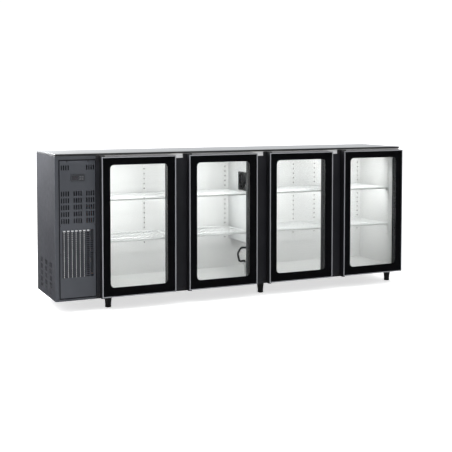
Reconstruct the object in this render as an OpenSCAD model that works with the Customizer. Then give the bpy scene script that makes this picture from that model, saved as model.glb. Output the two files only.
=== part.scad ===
// Under counter back bar fridge with four hinged glass doors and a motor bay on its left.
// The model frame stands on the floor at the middle of the footprint, with the doors towards -Y.
// Inside in_cabinet() the sizes run from the left side, from the front face of the cabinet
// towards the back, and from the underside of the cabinet up.

/* [Cabinet] */
// Overall width of the cabinet
cabinet_w = 2190; // [1950:5:2650]
// Depth of the cabinet behind its front face
cabinet_d = 400; // [340:5:500]
// Height of the cabinet above its legs
cabinet_h = 785; // [660:5:940]
// Height of the legs
leg_h = 65; // [40:1:150]
// Largest diameter of a leg
leg_d = 40; // [30:1:50]
// Distance from the cabinet's ends and front to the legs
leg_inset = 40; // [30:1:60]
// Thickness of the painted steel sheets
sheet_t = 1.2; // [0.8:0.1:1.6]
// Thickness of the sheet that lines the cold room
liner_t = 1; // [0.6:0.1:1.5]
// Thickness of the foamed back wall
back_wall_t = 40; // [30:1:60]
// Thickness of the frame round the door openings
face_t = 6; // [4:0.5:10]
// Depth of the posts between the doors
mullion_d = 28; // [15:1:40]
// Height of the worktop's edge
worktop_t = 10; // [6:0.5:25]
// How far the worktop stands out over the front face
worktop_nose = 3; // [0:0.5:3]
// Height of the bright rail behind the tops of the doors
header_h = 26; // [20:1:32]

/* [Doors] */
// Free width between two neighbouring doors
door_gap = 80; // [60:1:120]
// Distance from the last door to the end of the cabinet
end_margin = 9; // [4:1:30]
// Height of the worktop above the tops of the doors
door_drop = 18; // [17:1:30]
// Height of the doors above the underside of the cabinet
door_rise = 10; // [9:1:30]
// Depth of a door's frame
door_t = 45; // [42:0.5:60]
// Distance from a closed door's frame to the front face, filled by the gasket
seal_gap = 10; // [8:0.5:14]
// How far a door overlaps the edge of its opening
seal_land = 33; // [32:1:45]
// Width of the door frame's bright edge
door_edge_w = 5.5; // [4:0.5:8]
// Width of the door frame's section
door_rail_w = 29; // [27:0.5:31]
// Wall of the door frame's section
door_wall_t = 3.5; // [2:0.5:4]
// Thickness of one pane of glass
pane_t = 4; // [3:0.5:5]
// Space between the two panes
pane_gap = 16; // [10:1:18]
// Width of the gasket
gasket_w = 12; // [8:0.5:13]
// Radius of the hinge pins
pin_r = 4; // [3:0.5:5]
// Distance of the hinge axis from the door's left edge
pivot_x = 12; // [11:0.5:15]
// Distance of the hinge axis in front of the cabinet's front face
pivot_y = 32; // [30:0.5:36]

/* [Motor bay] */
// Width of the motor bay
motor_bay_w = 228; // [215:1:300]
// Width of the recess between the motor bay and the first door
bay_recess = 13; // [8:1:25]
// Width of the bay frame's stile and top rail
stile_w = 18; // [14:1:26]
// Gap round the motor panel
panel_gap = 4; // [2:0.5:6]
// Width of a vent slot
slot_w = 6.5; // [4:0.5:8]
// Height of a vent slot
slot_h = 27; // [18:1:32]
// Distance from one vent slot to the next
slot_pitch = 12.5; // [11:0.5:14]
// Distance from one row of vent slots to the next
slot_row_pitch = 36.5; // [34:0.5:45]
// Width of the lower grille
grille_w = 175; // [140:1:180]
// Height of the lower grille
grille_h = 255; // [200:1:270]
// Height of the lower grille's underside
grille_z = 124; // [90:1:140]
// Width of the controller's bezel
controller_w = 75; // [70:1:90]
// Height of the controller's bezel
controller_h = 35; // [32:1:45]
// How far a controller key travels
key_travel = 0.6; // [0.4:0.1:0.8]
// Diameter of the compressor's shell
compressor_d = 136; // [110:1:150]
// Height of the compressor's shell
compressor_h = 165; // [130:1:200]
// Width of the condenser's finned block
condenser_w = 168; // [140:1:172]
// Height of the condenser's finned block
condenser_h = 265; // [200:1:290]
// Depth of the condenser's finned block
condenser_d = 44; // [30:1:50]
// Radius of the condenser fan's blades
fan_r = 76; // [60:1:78]

/* [Cold room] */
// Height of the lower shelves
lower_shelf_z = 303; // [270:1:340]
// Height of the upper shelves
upper_shelf_z = 530; // [480:1:560]
// Diameter of a shelf's frame wire
shelf_frame_d = 7; // [5:0.5:9]
// Diameter of a shelf's thin wires
shelf_wire_d = 3.5; // [2.5:0.5:4.5]
// Distance from one thin wire to the next
shelf_wire_pitch = 24; // [18:1:40]
// Width of a shelf rail
rail_w = 20; // [16:1:24]
// Diameter of the holes in a shelf rail
rail_hole_d = 8; // [5:0.5:10]
// Distance from one rail hole to the next
rail_hole_pitch = 29; // [20:1:35]
// Height of the rails' lower ends
rail_z = 215; // [150:1:225]
// Distance from the middle of a post to the rails beside it
rail_offset = 77; // [60:1:90]
// Width of the evaporator's housing
evap_w = 140; // [120:1:170]
// Distance from the middle post's axis to the housing's left side
evap_shift = 30; // [10:1:40]
// Height of the housing's lower end
evap_z = 226; // [200:1:250]
// Side length of an evaporator fan's frame
evap_fan_size = 110; // [90:1:115]

/* [Hidden] */
$fn = 48;
EPS = 0.01;
door_count = 4;
mullion_count = door_count - 1;
running_gap = 0.05; // radial clearance of a pin in its bore
moving_gap = 0.3; // clearance between pieces that move past each other
fit_gap = 0.5; // clearance round a fixed piece in its opening

// Levels and planes, from the underside and from the front face
front_y = -door_t - seal_gap;
total_d = cabinet_d + door_t + seal_gap;
face_y = -total_d / 2 - front_y;
worktop_z = cabinet_h - worktop_t;
door_z0 = door_rise;
door_z1 = cabinet_h - door_drop;
door_h = door_z1 - door_z0;
header_z = worktop_z - header_h;

// Doors and posts
door_x0 = motor_bay_w + bay_recess;
door_w = (cabinet_w - door_x0 - end_margin - mullion_count * door_gap) / door_count;
door_pitch = door_w + door_gap;
function door_x(i) = door_x0 + i * door_pitch;
function mullion_x(i) = door_x(i) + door_w + door_gap / 2;
mullion_w = door_gap + 2 * seal_land;
door_back_y = -seal_gap;
pane_inset = 1.5;
pane_front_y = front_y + pane_inset;
pane_back_y = pane_front_y + 2 * pane_t + pane_gap;
spacer_w = 8;
key_block = 30;
corner_hook = 2;
glass_lip = 7;
grip_depth = 3.5;
grip_y0 = 16;
grip_y1 = 34;
grip_share = 0.25;
gasket_step = 2;
gasket_inset = seal_land - gasket_w - gasket_step;

// The cold room inside its liner
room_x0 = door_x0 + seal_land;
room_x1 = door_x(mullion_count) + door_w - seal_land;
room_z0 = door_z0 + seal_land;
room_z1 = door_z1 - seal_land;
room_y1 = cabinet_d - back_wall_t;
in_x0 = room_x0 + liner_t;
in_x1 = room_x1 - liner_t;
in_z0 = room_z0 + liner_t;
in_z1 = room_z1 - liner_t;
in_y1 = room_y1 - liner_t;

// Hinge plates
plate_t = 5;
plate_gap = 1.5;
pin_len = 20;
flange_t = 3;
flange_h = 24;
flange_reach = 18;
tongue_r = 12;

// Motor bay
bay_x1 = motor_bay_w;
bay_flange = 16;
bay_lap = 10;
panel_x0 = stile_w + panel_gap;
panel_x1 = bay_x1 - 2;
panel_z0 = 12;
panel_z1 = worktop_z - stile_w - panel_gap;
panel_y = 0.8;
panel_mid = (panel_x0 + panel_x1) / 2;
slot_count = 4;
group_w = (slot_count - 1) * slot_pitch + slot_w;
group_pitch = 69;
slot_rows = 5;
slot_rows_z = grille_z + grille_h + 35;
top_slots_z = panel_z1 - 55;
side_rows = 5;
side_groups = 3;
side_group_pitch = cabinet_d / (side_groups + 1);
side_slots_z = 25;
back_group_pitch = 62;
back_slots_z = 330;
grille_cols = 8;
grille_rows = 23;
grille_bar = 4;
controller_z = panel_z1 - 114;
controller_depth = 56;
bezel_t = 4;
key_w = 9;
key_h = 7;
key_pitch_x = 13;
key_pitch_z = 12;
key_x0 = 14;
key_t = 2.6;
screw_r = 4;
tray_h = 18;
tray_x0 = 12;
tray_x1 = bay_x1 - 14;
tray_y0 = 16;
tray_y1 = cabinet_d - 14;
condenser_y = 30;
condenser_z = grille_z - 8;
condenser_mid = (tray_x0 + tray_x1) / 2;
fin_pitch = 6;
fin_t = 1.2;
tube_r = 4.5;
tube_rows = 9;
tube_over = 8;
shroud_y = condenser_y + condenser_d + 2;
shroud_t = 1.5;
collar_d = 22;
fan_z = condenser_z + condenser_h / 2;
fan_hub_r = 22;
fan_y = shroud_y + 4;
fan_depth = 16;
shaft_r = 3;
fan_motor_y = fan_y + fan_depth + 3;
fan_motor_r = 28;
fan_motor_d = 34;
compressor_y = cabinet_d - 20 - sheet_t - compressor_d / 2 - 20;
compressor_z = 16;
pan_h = 34;
pan_t = 1.5;
pan_z = compressor_z + compressor_h;
service_y = room_y1 + 16;
service_z = evap_z + 130;
service_r = 14;
service_mouth = 12;
gland_z = 60;
gland_r = 11;

drier_x = bay_x1 - 22;
drier_y = shroud_y + 60;
drier_z = service_z + 6;
drier_h = 110;

// Cold room fittings
shelf_y0 = mullion_d + 6;
shelf_y1 = in_y1 - 4;
shelf_side_gap = 4;
rail_t = 1.5;
rail_z1 = in_z1 - 32;
rail_corner = 24;
front_rail_offset = 52;
evap_x0 = mullion_x(1) - evap_shift;
evap_x1 = evap_x0 + evap_w;
evap_y0 = mullion_d + 32;
evap_sheet = 1.5;
evap_mid = evap_x0 + evap_w / 2;
louvre_count = 6;
louvre_pitch = 16;
louvre_h = 6;
louvre_side = 20;
louvre_z = evap_z + 60;
spout_y = evap_y0 + 60;
spout_r = 9;
spout_bore_r = 6.5;
spout_h = 18;
hose_r = 6;
stack_r = 11;
stack_h = 66;
evap_fan_y = evap_y0 + 103;
evap_fan_z = evap_z + 364 * (room_z1 - evap_z) / 508;
evap_fan_depth = 25;
evap_blade_r = evap_fan_size / 2 - 9;
coil_gap = 12;
coil_z0 = evap_z + 24;
coil_z1 = evap_fan_z - evap_fan_size / 2 - 14;
clip_w = 12;
clip_h = 14;
clip_d = 9;
strip_w = 16;
strip_h = 9;

// Puts its children in the cabinet's own frame
module in_cabinet() {
    translate([-cabinet_w / 2, face_y, leg_h]) children();
}

// Puts its children at the lower left corner of a door
module at_door(i) {
    translate([door_x(i), 0, door_z0]) children();
}

// A box between two opposite corners
module block(from, to) {
    translate(from) cube(to - from);
}

// A cylinder along Y, from y0 to y1
module rod_y(x, z, y0, y1, r) {
    translate([x, y0, z]) rotate([-90, 0, 0]) cylinder(h = y1 - y0, r = r);
}

// A cylinder along X, from x0 to x1
module rod_x(y, z, x0, x1, r) {
    translate([x0, y, z]) rotate([0, 90, 0]) cylinder(h = x1 - x0, r = r);
}

// A rectangular ring round a w by h outline, in from its edge by a to b, between two depths
module door_ring(a, b, y0, y1) {
    difference() {
        block([a, y0, a], [door_w - a, y1, door_h - a]);
        block([b, y0 - EPS, b], [door_w - b, y1 + EPS, door_h - b]);
    }
}

function unit(v) = v / norm(v);

// The route with each corner cut back by the same length on both sides
function cut_corners(route, cut) = [
    route[0],
    for (k = [1 : 1 : len(route) - 2], side = [-1, 1])
        route[k] + side * cut * unit(side < 0 ? route[k] - route[k - 1] : route[k + 1] - route[k]),
    route[len(route) - 1],
];

// The directions into and out of a point of the route, and the normal of the mitre between them
function run_into(route, k) = unit(route[max(k, 1)] - route[max(k, 1) - 1]);
function run_out(route, k) = run_into(route, min(k + 1, len(route) - 1));
function mitre(route, k) = unit(run_into(route, k) + run_out(route, k));

// A ring of points round the start of the route
function first_ring(route, r, sides) =
    let (d = run_into(route, 1), u = unit(cross(d, abs(d[2]) < 0.9 ? [0, 0, 1] : [1, 0, 0])), v = cross(d, u))
    [for (j = [0 : sides - 1]) route[0] + r * (cos(360 * j / sides) * u + sin(360 * j / sides) * v)];

// Every ring of the tube: each is the one before it, slid along the run to the next mitre
function rings(route, ring, k = 1) =
    let (d = run_into(route, k), n = mitre(route, k))
    let (next = [for (q = ring) q + d * (((route[k] - q) * n) / (d * n))])
    k == len(route) - 1 ? [next] : concat([next], rings(route, next, k + 1));

// A tube of eight sides along a route, with mitred corners
module tube_run(route, r, cut) {
    sides = 8;
    path = cut_corners(route, cut);
    start = first_ring(path, r, sides);
    points = [for (ring = concat([start], rings(path, start)), q = ring) q];
    last = len(points) - sides;
    polyhedron(points, concat(
        [[for (j = [0 : sides - 1]) j]],
        [for (k = [0 : len(path) - 2], j = [0 : sides - 1])
            [for (c = [[0, 0], [1, 0], [1, 1], [0, 1]]) (k + c[0]) * sides + (j + c[1]) % sides]],
        [[for (j = [0 : sides - 1]) last + sides - 1 - j]]
    ));
}

// One group of upright vent slots, from its lower left corner
module slot_group() {
    for (k = [0 : slot_count - 1]) {
        translate([k * slot_pitch, 0]) square([slot_w, slot_h]);
    }
}

// An open tray with its floor at z = 0
module open_tray(w, d, h, t) {
    difference() {
        cube([w, d, h]);
        translate([t, t, t]) cube([w - 2 * t, d - 2 * t, h]);
    }
}

// ---- Cabinet ----

module worktop() {
    color("silver") in_cabinet() difference() {
        block([0, -worktop_nose, worktop_z], [cabinet_w, cabinet_d, cabinet_h]);
        block([sheet_t, sheet_t - worktop_nose, worktop_z - EPS],
            [cabinet_w - sheet_t, cabinet_d - sheet_t, cabinet_h - sheet_t]);
    }
}

module header_rail() {
    color("gainsboro") in_cabinet()
        block([bay_x1, 0, header_z], [cabinet_w, face_t, worktop_z]);
}

module front_frame() {
    color("dimgray") in_cabinet() difference() {
        block([bay_x1, 0, 0], [cabinet_w, face_t, header_z]);
        block([room_x0, -EPS, room_z0], [room_x1, face_t + EPS, room_z1]);
    }
}

module mullions() {
    color("dimgray") in_cabinet() for (i = [0 : mullion_count - 1]) {
        translate([mullion_x(i) - mullion_w / 2, 0, 0]) {
            block([0, 0, room_z0], [mullion_w, face_t, room_z1]);
            block([0, face_t, in_z0], [mullion_w, mullion_d, in_z1]);
        }
    }
}

module motor_side_panel() {
    color("dimgray") in_cabinet() translate([sheet_t, 0, 0]) rotate([0, -90, 0])
        linear_extrude(sheet_t) difference() {
            translate([0, face_t]) square([worktop_z, cabinet_d - sheet_t - face_t]);
            for (g = [1 : side_groups], row = [0 : side_rows - 1]) {
                translate([side_slots_z + row * slot_row_pitch, g * side_group_pitch + group_w / 2])
                    rotate([0, 0, -90]) slot_group();
            }
        }
}

module right_side_panel() {
    color("black") in_cabinet()
        block([cabinet_w - sheet_t, face_t, 0], [cabinet_w, cabinet_d - sheet_t, worktop_z]);
}

module back_panel() {
    color("dimgray") in_cabinet() translate([0, cabinet_d, 0]) rotate([90, 0, 0])
        linear_extrude(sheet_t) difference() {
            square([cabinet_w, worktop_z]);
            for (g = [-1 : 1], row = [0 : slot_rows - 1]) {
                translate([bay_x1 / 2 + g * back_group_pitch - group_w / 2,
                    back_slots_z + row * slot_row_pitch])
                    slot_group();
            }
            translate([bay_x1 / 2, gland_z]) circle(r = gland_r);
        }
}

module base_panel() {
    color("dimgray") in_cabinet() {
        block([sheet_t, face_t, 0], [cabinet_w - sheet_t, cabinet_d - sheet_t, sheet_t]);
        difference() {
            block([bay_x1, face_t, 0], [bay_x1 + sheet_t, cabinet_d - sheet_t, worktop_z]);
            rod_x(service_y, service_z, bay_x1 - 1, bay_x1 + sheet_t + 1, service_r);
        }
    }
}

module insulation() {
    color("khaki") in_cabinet() difference() {
        union() {
            block([bay_x1 + sheet_t, face_t, sheet_t], [cabinet_w - sheet_t, cabinet_d - sheet_t, worktop_z]);
            block([bay_x1 + sheet_t, sheet_t - worktop_nose, worktop_z],
                [cabinet_w - sheet_t, cabinet_d - sheet_t, cabinet_h - sheet_t]);
        }
        block([room_x0, 0, room_z0], [room_x1, room_y1, room_z1]);
        rod_x(service_y, service_z, bay_x1, evap_mid + service_mouth, service_r - 2);
        rod_y(evap_mid, service_z, room_y1 - 1, service_y, service_mouth + 2);
    }
}

module inner_liner() {
    color("white") in_cabinet() difference() {
        block([room_x0, face_t, room_z0], [room_x1, room_y1, room_z1]);
        block([in_x0, 0, in_z0], [in_x1, in_y1, in_z1]);
        rod_y(evap_mid, service_z, in_y1 - 1, room_y1 + 1, service_mouth + 2);
    }
}

// One hinge plate: a flange on the cabinet and a tongue that carries the pin, tongue upwards from z = 0
module hinge_plate(flange_z0, flange_z1) {
    block([-flange_reach, -flange_t, flange_z0], [gasket_inset - flange_t, 0, flange_z1]);
    difference() {
        union() {
            block([pivot_x - tongue_r, -pivot_y, 0], [pivot_x + tongue_r, 0, plate_t]);
            translate([pivot_x, -pivot_y, 0]) cylinder(h = plate_t, r = tongue_r);
        }
        translate([pivot_x, -pivot_y, -1]) cylinder(h = plate_t + 2, r = pin_r);
    }
}

module hinge_plates() {
    color("black") in_cabinet() for (i = [0 : door_count - 1]) {
        translate([door_x(i), 0, door_z1 + plate_gap]) hinge_plate(-flange_h, plate_t);
        translate([door_x(i), 0, door_z0 - plate_gap - plate_t]) hinge_plate(0, flange_h);
    }
}

module hinge_pins() {
    color("silver") in_cabinet() for (i = [0 : door_count - 1]) {
        translate([door_x(i) + pivot_x, -pivot_y, 0]) {
            translate([0, 0, door_z1 - pin_len]) cylinder(h = pin_len + plate_gap + plate_t, r = pin_r);
            translate([0, 0, door_z0 - plate_gap - plate_t])
                cylinder(h = pin_len + plate_gap + plate_t, r = pin_r);
        }
    }
}

// A leg: plate under the cabinet, tapered body and flat foot
module leg() {
    rotate_extrude() polygon([
        [0, 0], [leg_d * 0.40, 0], [leg_d * 0.43, 3], [leg_d * 0.43, 10], [leg_d * 0.38, 12],
        [leg_d / 2, leg_h - 8], [leg_d / 2, leg_h - 4], [leg_d / 2 + 6, leg_h - 4],
        [leg_d / 2 + 6, leg_h], [0, leg_h],
    ]);
}

function leg_x() = [
    bay_x1 + leg_inset + leg_d, (bay_x1 + cabinet_w) / 2 + leg_d, cabinet_w - leg_inset,
];

module legs() {
    color("black") in_cabinet() for (x = leg_x(), y = [leg_inset + 20, cabinet_d - leg_inset]) {
        translate([x, y, -leg_h]) leg();
    }
}

// ---- Doors ----

module door_frame(i) {
    color("gray") in_cabinet() at_door(i) difference() {
        union() {
            door_ring(0, door_edge_w, front_y, door_back_y);
            door_ring(door_edge_w, door_rail_w, pane_front_y + pane_t, pane_front_y + pane_t + door_wall_t);
            door_ring(door_edge_w, door_rail_w, door_back_y - door_wall_t, door_back_y);
            door_ring(door_rail_w - corner_hook, door_rail_w, pane_back_y, door_back_y);
            door_ring(door_rail_w - corner_hook, door_rail_w + glass_lip,
                pane_back_y, pane_back_y + door_wall_t);
            for (z = [door_edge_w, door_h - door_edge_w - key_block]) {
                block([door_edge_w, pane_front_y + pane_t, z],
                    [door_rail_w - corner_hook, door_back_y, z + key_block]);
            }
        }
        for (z = [-1, door_h - pin_len - 1]) {
            translate([pivot_x, -pivot_y, z]) cylinder(h = pin_len + 2, r = pin_r + running_gap);
        }
        block([door_w - grip_depth, front_y + grip_y0, door_h * grip_share],
            [door_w + 1, front_y + grip_y1, door_h * (1 - grip_share)]);
    }
}

module door_glazing(i) {
    color("lightblue", 0.4) in_cabinet() at_door(i) {
        block([door_edge_w, pane_front_y, door_edge_w],
            [door_w - door_edge_w, pane_front_y + pane_t, door_h - door_edge_w]);
        block([door_rail_w, pane_back_y - pane_t, door_rail_w],
            [door_w - door_rail_w, pane_back_y, door_h - door_rail_w]);
    }
}

module door_spacer(i) {
    color("silver") in_cabinet() at_door(i)
        door_ring(door_rail_w, door_rail_w + spacer_w, pane_front_y + pane_t, pane_back_y - pane_t);
}

// The gasket: a flat foot, a narrower bellows and the magnet strip that meets the front face
module door_gasket(i) {
    foot_t = seal_gap * 0.3;
    magnet_t = seal_gap * 0.3;
    color("dimgray") in_cabinet() at_door(i) {
        door_ring(gasket_inset, gasket_inset + gasket_w, door_back_y, door_back_y + foot_t);
        door_ring(gasket_inset + gasket_step, gasket_inset + gasket_w - gasket_step,
            door_back_y + foot_t, -magnet_t);
        door_ring(gasket_inset + 1, gasket_inset + gasket_w - 1, -magnet_t, -moving_gap);
    }
}

// ---- Cold room ----

function shelf_spans() = [
    [in_x0 + shelf_side_gap, mullion_x(0) - 2],
    [mullion_x(0) + 2, evap_x0 - shelf_side_gap],
    [evap_x1 + shelf_side_gap, mullion_x(2) - 2],
    [mullion_x(2) + 2, in_x1 - shelf_side_gap],
];

// One wire shelf whose top lies at z: a layer of thin wires let into a heavier frame
module wire_shelf(span, z) {
    w = span[1] - span[0];
    d = shelf_y1 - shelf_y0;
    wires = floor((w - shelf_frame_d) / shelf_wire_pitch);
    pitch = (w - shelf_frame_d) / wires;
    bay_d = (d - shelf_frame_d) / 3;
    translate([span[0], shelf_y0, z - shelf_wire_d]) {
        linear_extrude(shelf_wire_d) difference() {
            translate([1, 1]) square([w - 2, d - 2]);
            for (k = [0 : wires - 1], bay = [0 : 2]) {
                translate([shelf_frame_d / 2 + k * pitch + shelf_wire_d / 2, shelf_frame_d + bay * bay_d])
                    square([pitch - shelf_wire_d, bay_d - shelf_frame_d]);
            }
        }
        translate([0, 0, 1 - shelf_frame_d]) linear_extrude(shelf_frame_d) difference() {
            square([w, d]);
            for (bay = [0 : 2]) {
                translate([shelf_frame_d, shelf_frame_d + bay * bay_d])
                    square([w - 2 * shelf_frame_d, bay_d - shelf_frame_d]);
            }
        }
    }
}

module upper_shelves() {
    color("white") in_cabinet() for (span = shelf_spans()) wire_shelf(span, upper_shelf_z);
}

module lower_shelves() {
    color("white") in_cabinet() for (span = shelf_spans()) wire_shelf(span, lower_shelf_z);
}

function back_rail_x() = [
    in_x0 + rail_corner, mullion_x(0) - rail_offset, mullion_x(0) + rail_offset, evap_x0 - rail_corner,
    evap_x1 + rail_corner, mullion_x(2) - rail_offset, mullion_x(2) + rail_offset, in_x1 - rail_corner,
];

function front_rail_x() = [
    for (i = [0 : mullion_count - 1], s = [-1, 1]) mullion_x(i) + s * front_rail_offset
];

// The outline of one shelf rail, with its holes
module rail_outline() {
    h = rail_z1 - rail_z;
    holes = floor((h - rail_hole_pitch) / rail_hole_pitch);
    difference() {
        translate([-rail_w / 2, 0]) square([rail_w, h]);
        for (k = [0 : holes]) {
            translate([0, rail_hole_pitch * (k + 0.6)]) circle(d = rail_hole_d, $fn = 24);
        }
    }
}

module shelf_rails() {
    color("silver") in_cabinet() {
        for (x = back_rail_x()) {
            translate([x, in_y1, rail_z]) rotate([90, 0, 0]) linear_extrude(rail_t) rail_outline();
        }
        for (x = front_rail_x()) {
            translate([x, mullion_d + rail_t, rail_z]) rotate([90, 0, 0]) linear_extrude(rail_t) rail_outline();
        }
        for (x = [in_x0, in_x1 - rail_t]) {
            translate([x, shelf_y0 + rail_w, rail_z]) rotate([90, 0, 90]) linear_extrude(rail_t) rail_outline();
        }
    }
}

// A clip on a rail, with a tongue under the shelf's frame wire, reaching forward from y = 0
module shelf_clip() {
    block([-clip_w / 2, -clip_d, -clip_h], [clip_w / 2, 0, -4]);
    block([-clip_w / 2, -2, -4], [clip_w / 2, 0, 0]);
}

module shelf_clips() {
    color("white") in_cabinet() {
        for (z = [lower_shelf_z, upper_shelf_z]) {
            under_z = z - shelf_wire_d - shelf_frame_d + 1;
            for (x = back_rail_x()) {
                translate([x, in_y1 - rail_t, under_z + 4]) shelf_clip();
            }
            for (x = front_rail_x()) {
                if (x < evap_x0 - clip_w || x > evap_x1 + clip_w)
                    translate([x, mullion_d + rail_t, under_z + 4]) rotate([0, 0, 180]) shelf_clip();
            }
            translate([in_x0 + rail_t, shelf_y0 + rail_w, under_z + 4]) rotate([0, 0, 90]) shelf_clip();
            translate([in_x1 - rail_t, shelf_y0 + rail_w, under_z + 4]) rotate([0, 0, -90]) shelf_clip();
        }
    }
}

// ---- Evaporator ----

module at_evap_fans() {
    translate([evap_x0, evap_fan_y, evap_fan_z]) rotate([0, 90, 0]) children();
    translate([evap_x1, evap_fan_y, evap_fan_z]) rotate([0, -90, 0]) children();
}

module evaporator_cover() {
    color("white") in_cabinet() difference() {
        block([evap_x0, evap_y0, evap_z], [evap_x1, in_y1, in_z1]);
        block([evap_x0 + evap_sheet, evap_y0 + evap_sheet, evap_z - EPS],
            [evap_x1 - evap_sheet, in_y1 + EPS, in_z1 - evap_sheet]);
        rod_x(evap_fan_y, evap_fan_z, evap_x0 - 1, evap_x1 + 1, evap_fan_size / 2 - 4);
        for (k = [0 : louvre_count - 1]) {
            block([evap_x0 + louvre_side, evap_y0 - 1, louvre_z + k * louvre_pitch],
                [evap_x1 - louvre_side, evap_y0 + evap_sheet + 1, louvre_z + k * louvre_pitch + louvre_h]);
        }
    }
}

// A square fan frame with its ring, three arms and a motor hub with a shaft, inside from z = 0
module fan_frame() {
    translate([0, 0, -2]) difference() {
        translate([-evap_fan_size / 2, -evap_fan_size / 2, 0]) cube([evap_fan_size, evap_fan_size, 2]);
        translate([0, 0, -1]) cylinder(h = 4, r = evap_blade_r + 2);
    }
    difference() {
        cylinder(h = evap_fan_depth, r = evap_blade_r + 4);
        translate([0, 0, -1]) cylinder(h = evap_fan_depth + 2, r = evap_blade_r + 2);
    }
    for (k = [0 : 2]) {
        rotate([0, 0, 120 * k + 90]) translate([14, -4, evap_fan_depth - 3]) cube([evap_blade_r - 11, 8, 3]);
    }
    translate([0, 0, evap_fan_depth - 5]) cylinder(h = 5, r = 17);
    translate([0, 0, 4]) cylinder(h = evap_fan_depth - 5, r = shaft_r);
}

module evaporator_fan_frames() {
    color("black") in_cabinet() at_evap_fans() fan_frame();
}

// A fan wheel along +Z with a bored hub and flat blades set at an angle
module fan_wheel(blades, r, hub_r, depth, pitch) {
    difference() {
        union() {
            cylinder(h = depth, r = hub_r);
            intersection() {
                for (k = [0 : blades - 1]) {
                    rotate([0, 0, 360 / blades * k]) translate([hub_r - 2, 0, depth / 2]) rotate([pitch, 0, 0])
                        translate([0, -r * 0.32, -1]) cube([r, r * 0.64, 2]);
                }
                cylinder(h = depth, r = r);
            }
        }
        translate([0, 0, -1]) cylinder(h = depth + 2, r = shaft_r + running_gap);
    }
}

module evaporator_fan_1() {
    color("slategray") in_cabinet() translate([evap_x0 + 4, evap_fan_y, evap_fan_z]) rotate([0, 90, 0])
        fan_wheel(7, evap_blade_r, 16, evap_fan_depth - 10, 32);
}

module evaporator_fan_2() {
    color("slategray") in_cabinet() translate([evap_x1 - 4, evap_fan_y, evap_fan_z]) rotate([0, -90, 0])
        fan_wheel(7, evap_blade_r, 16, evap_fan_depth - 10, 32);
}

module evaporator_coil() {
    x0 = evap_x0 + coil_gap + 8;
    x1 = evap_x1 - coil_gap - 8;
    y0 = evap_y0 + 30;
    y1 = in_y1 - 24;
    fins = floor((y1 - y0) / (2 * fin_pitch));
    color("silver") in_cabinet() {
        for (k = [0 : fins]) {
            y = y0 + k * (y1 - y0 - fin_t) / fins;
            block([x0, y, coil_z0], [x1, y + fin_t, coil_z1]);
        }
        for (x = [x0 + (x1 - x0) / 4, x1 - (x1 - x0) / 4], k = [0 : 4]) {
            rod_y(x, coil_z0 + (k + 0.5) * (coil_z1 - coil_z0) / 5, y0 - tube_over, y1 + tube_over, tube_r);
        }
    }
}

module drain_tray() {
    tray_gap = 4;
    lip_h = 18;
    color("gray") in_cabinet() difference() {
        union() {
            translate([evap_x0 + tray_gap, evap_y0 + tray_gap, evap_z - 2])
                open_tray(evap_w - 2 * tray_gap, in_y1 - evap_y0 - 2 * tray_gap, lip_h, 1.5);
            translate([evap_mid, spout_y, evap_z - 2 - spout_h]) cylinder(h = spout_h + 1, r = spout_r);
        }
        translate([evap_mid, spout_y, evap_z - 3 - spout_h]) cylinder(h = spout_h + 12, r = spout_bore_r);
    }
}

// The hose leaves the tray's spout, loops out beside the housing and ends in the standing drain pipe
module drain_hose() {
    pipe_x = evap_x0 - 4;
    color("dimgray") in_cabinet() {
        tube_run([
            [evap_mid, spout_y, evap_z - 2 - spout_h], [evap_mid, spout_y, evap_z - 45],
            [evap_x0 + 10, spout_y - 5, evap_z - 30], [evap_x0 - 35, spout_y - 10, evap_z - 25],
            [evap_x0 - 55, spout_y - 5, evap_z - 60], [evap_x0 - 40, spout_y, evap_z - 110],
            [pipe_x, spout_y, evap_z - 105], [pipe_x, spout_y, in_z0 + stack_h + moving_gap],
        ], hose_r, 9);
        translate([pipe_x, spout_y, in_z0]) cylinder(h = stack_h, r = stack_r);
    }
}

module light_strips() {
    color("white") in_cabinet() for (span = [[in_x0 + 40, evap_x0 - 40], [evap_x1 + 40, in_x1 - 40]]) {
        block([span[0], mullion_d + 2, in_z1 - strip_h], [span[1], mullion_d + 2 + strip_w, in_z1]);
    }
}

// ---- Motor bay ----

module motor_bay_frame() {
    color("dimgray") in_cabinet() difference() {
        block([0, 0, 0], [bay_x1, face_t, worktop_z]);
        block([stile_w, -EPS, panel_z0 - 3], [bay_x1 + EPS, panel_y + sheet_t, worktop_z - stile_w]);
        block([stile_w + bay_flange, 0, panel_z0 + bay_flange],
            [bay_x1 - bay_lap, face_t + EPS, worktop_z - stile_w - bay_flange]);
    }
}

module panel_outline() {
    cell_w = grille_w / grille_cols;
    cell_h = grille_h / grille_rows;
    difference() {
        translate([panel_x0, panel_z0]) square([panel_x1 - panel_x0, panel_z1 - panel_z0]);
        for (s = [-1, 1]) {
            translate([panel_mid + s * group_pitch - group_w / 2, top_slots_z]) slot_group();
        }
        for (g = [-1 : 1], row = [0 : slot_rows - 1]) {
            translate([panel_mid + g * group_pitch - group_w / 2, slot_rows_z + row * slot_row_pitch])
                slot_group();
        }
        for (col = [0 : grille_cols - 1], row = [0 : grille_rows - 1]) {
            translate([panel_mid - grille_w / 2 + col * cell_w + grille_bar / 2,
                grille_z + row * cell_h + grille_bar / 2])
                square([cell_w - grille_bar, cell_h - grille_bar]);
        }
        translate([panel_mid - controller_w / 2 + 2, controller_z + 3])
            square([controller_w - 4, controller_h - 6]);
    }
}

module motor_panel() {
    color("dimgray") in_cabinet() translate([0, panel_y + sheet_t, 0]) rotate([90, 0, 0])
        linear_extrude(sheet_t) panel_outline();
}

function screw_places() = [
    [panel_mid - 58, panel_z1 - 8], [panel_mid + 58, panel_z1 - 8],
    [panel_x0 + 6, grille_z + grille_h + 24], [panel_x1 - 6, grille_z + grille_h + 24],
    [panel_x0 + 6, grille_z + grille_h / 2], [panel_x1 - 6, grille_z + grille_h / 2],
];

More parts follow.
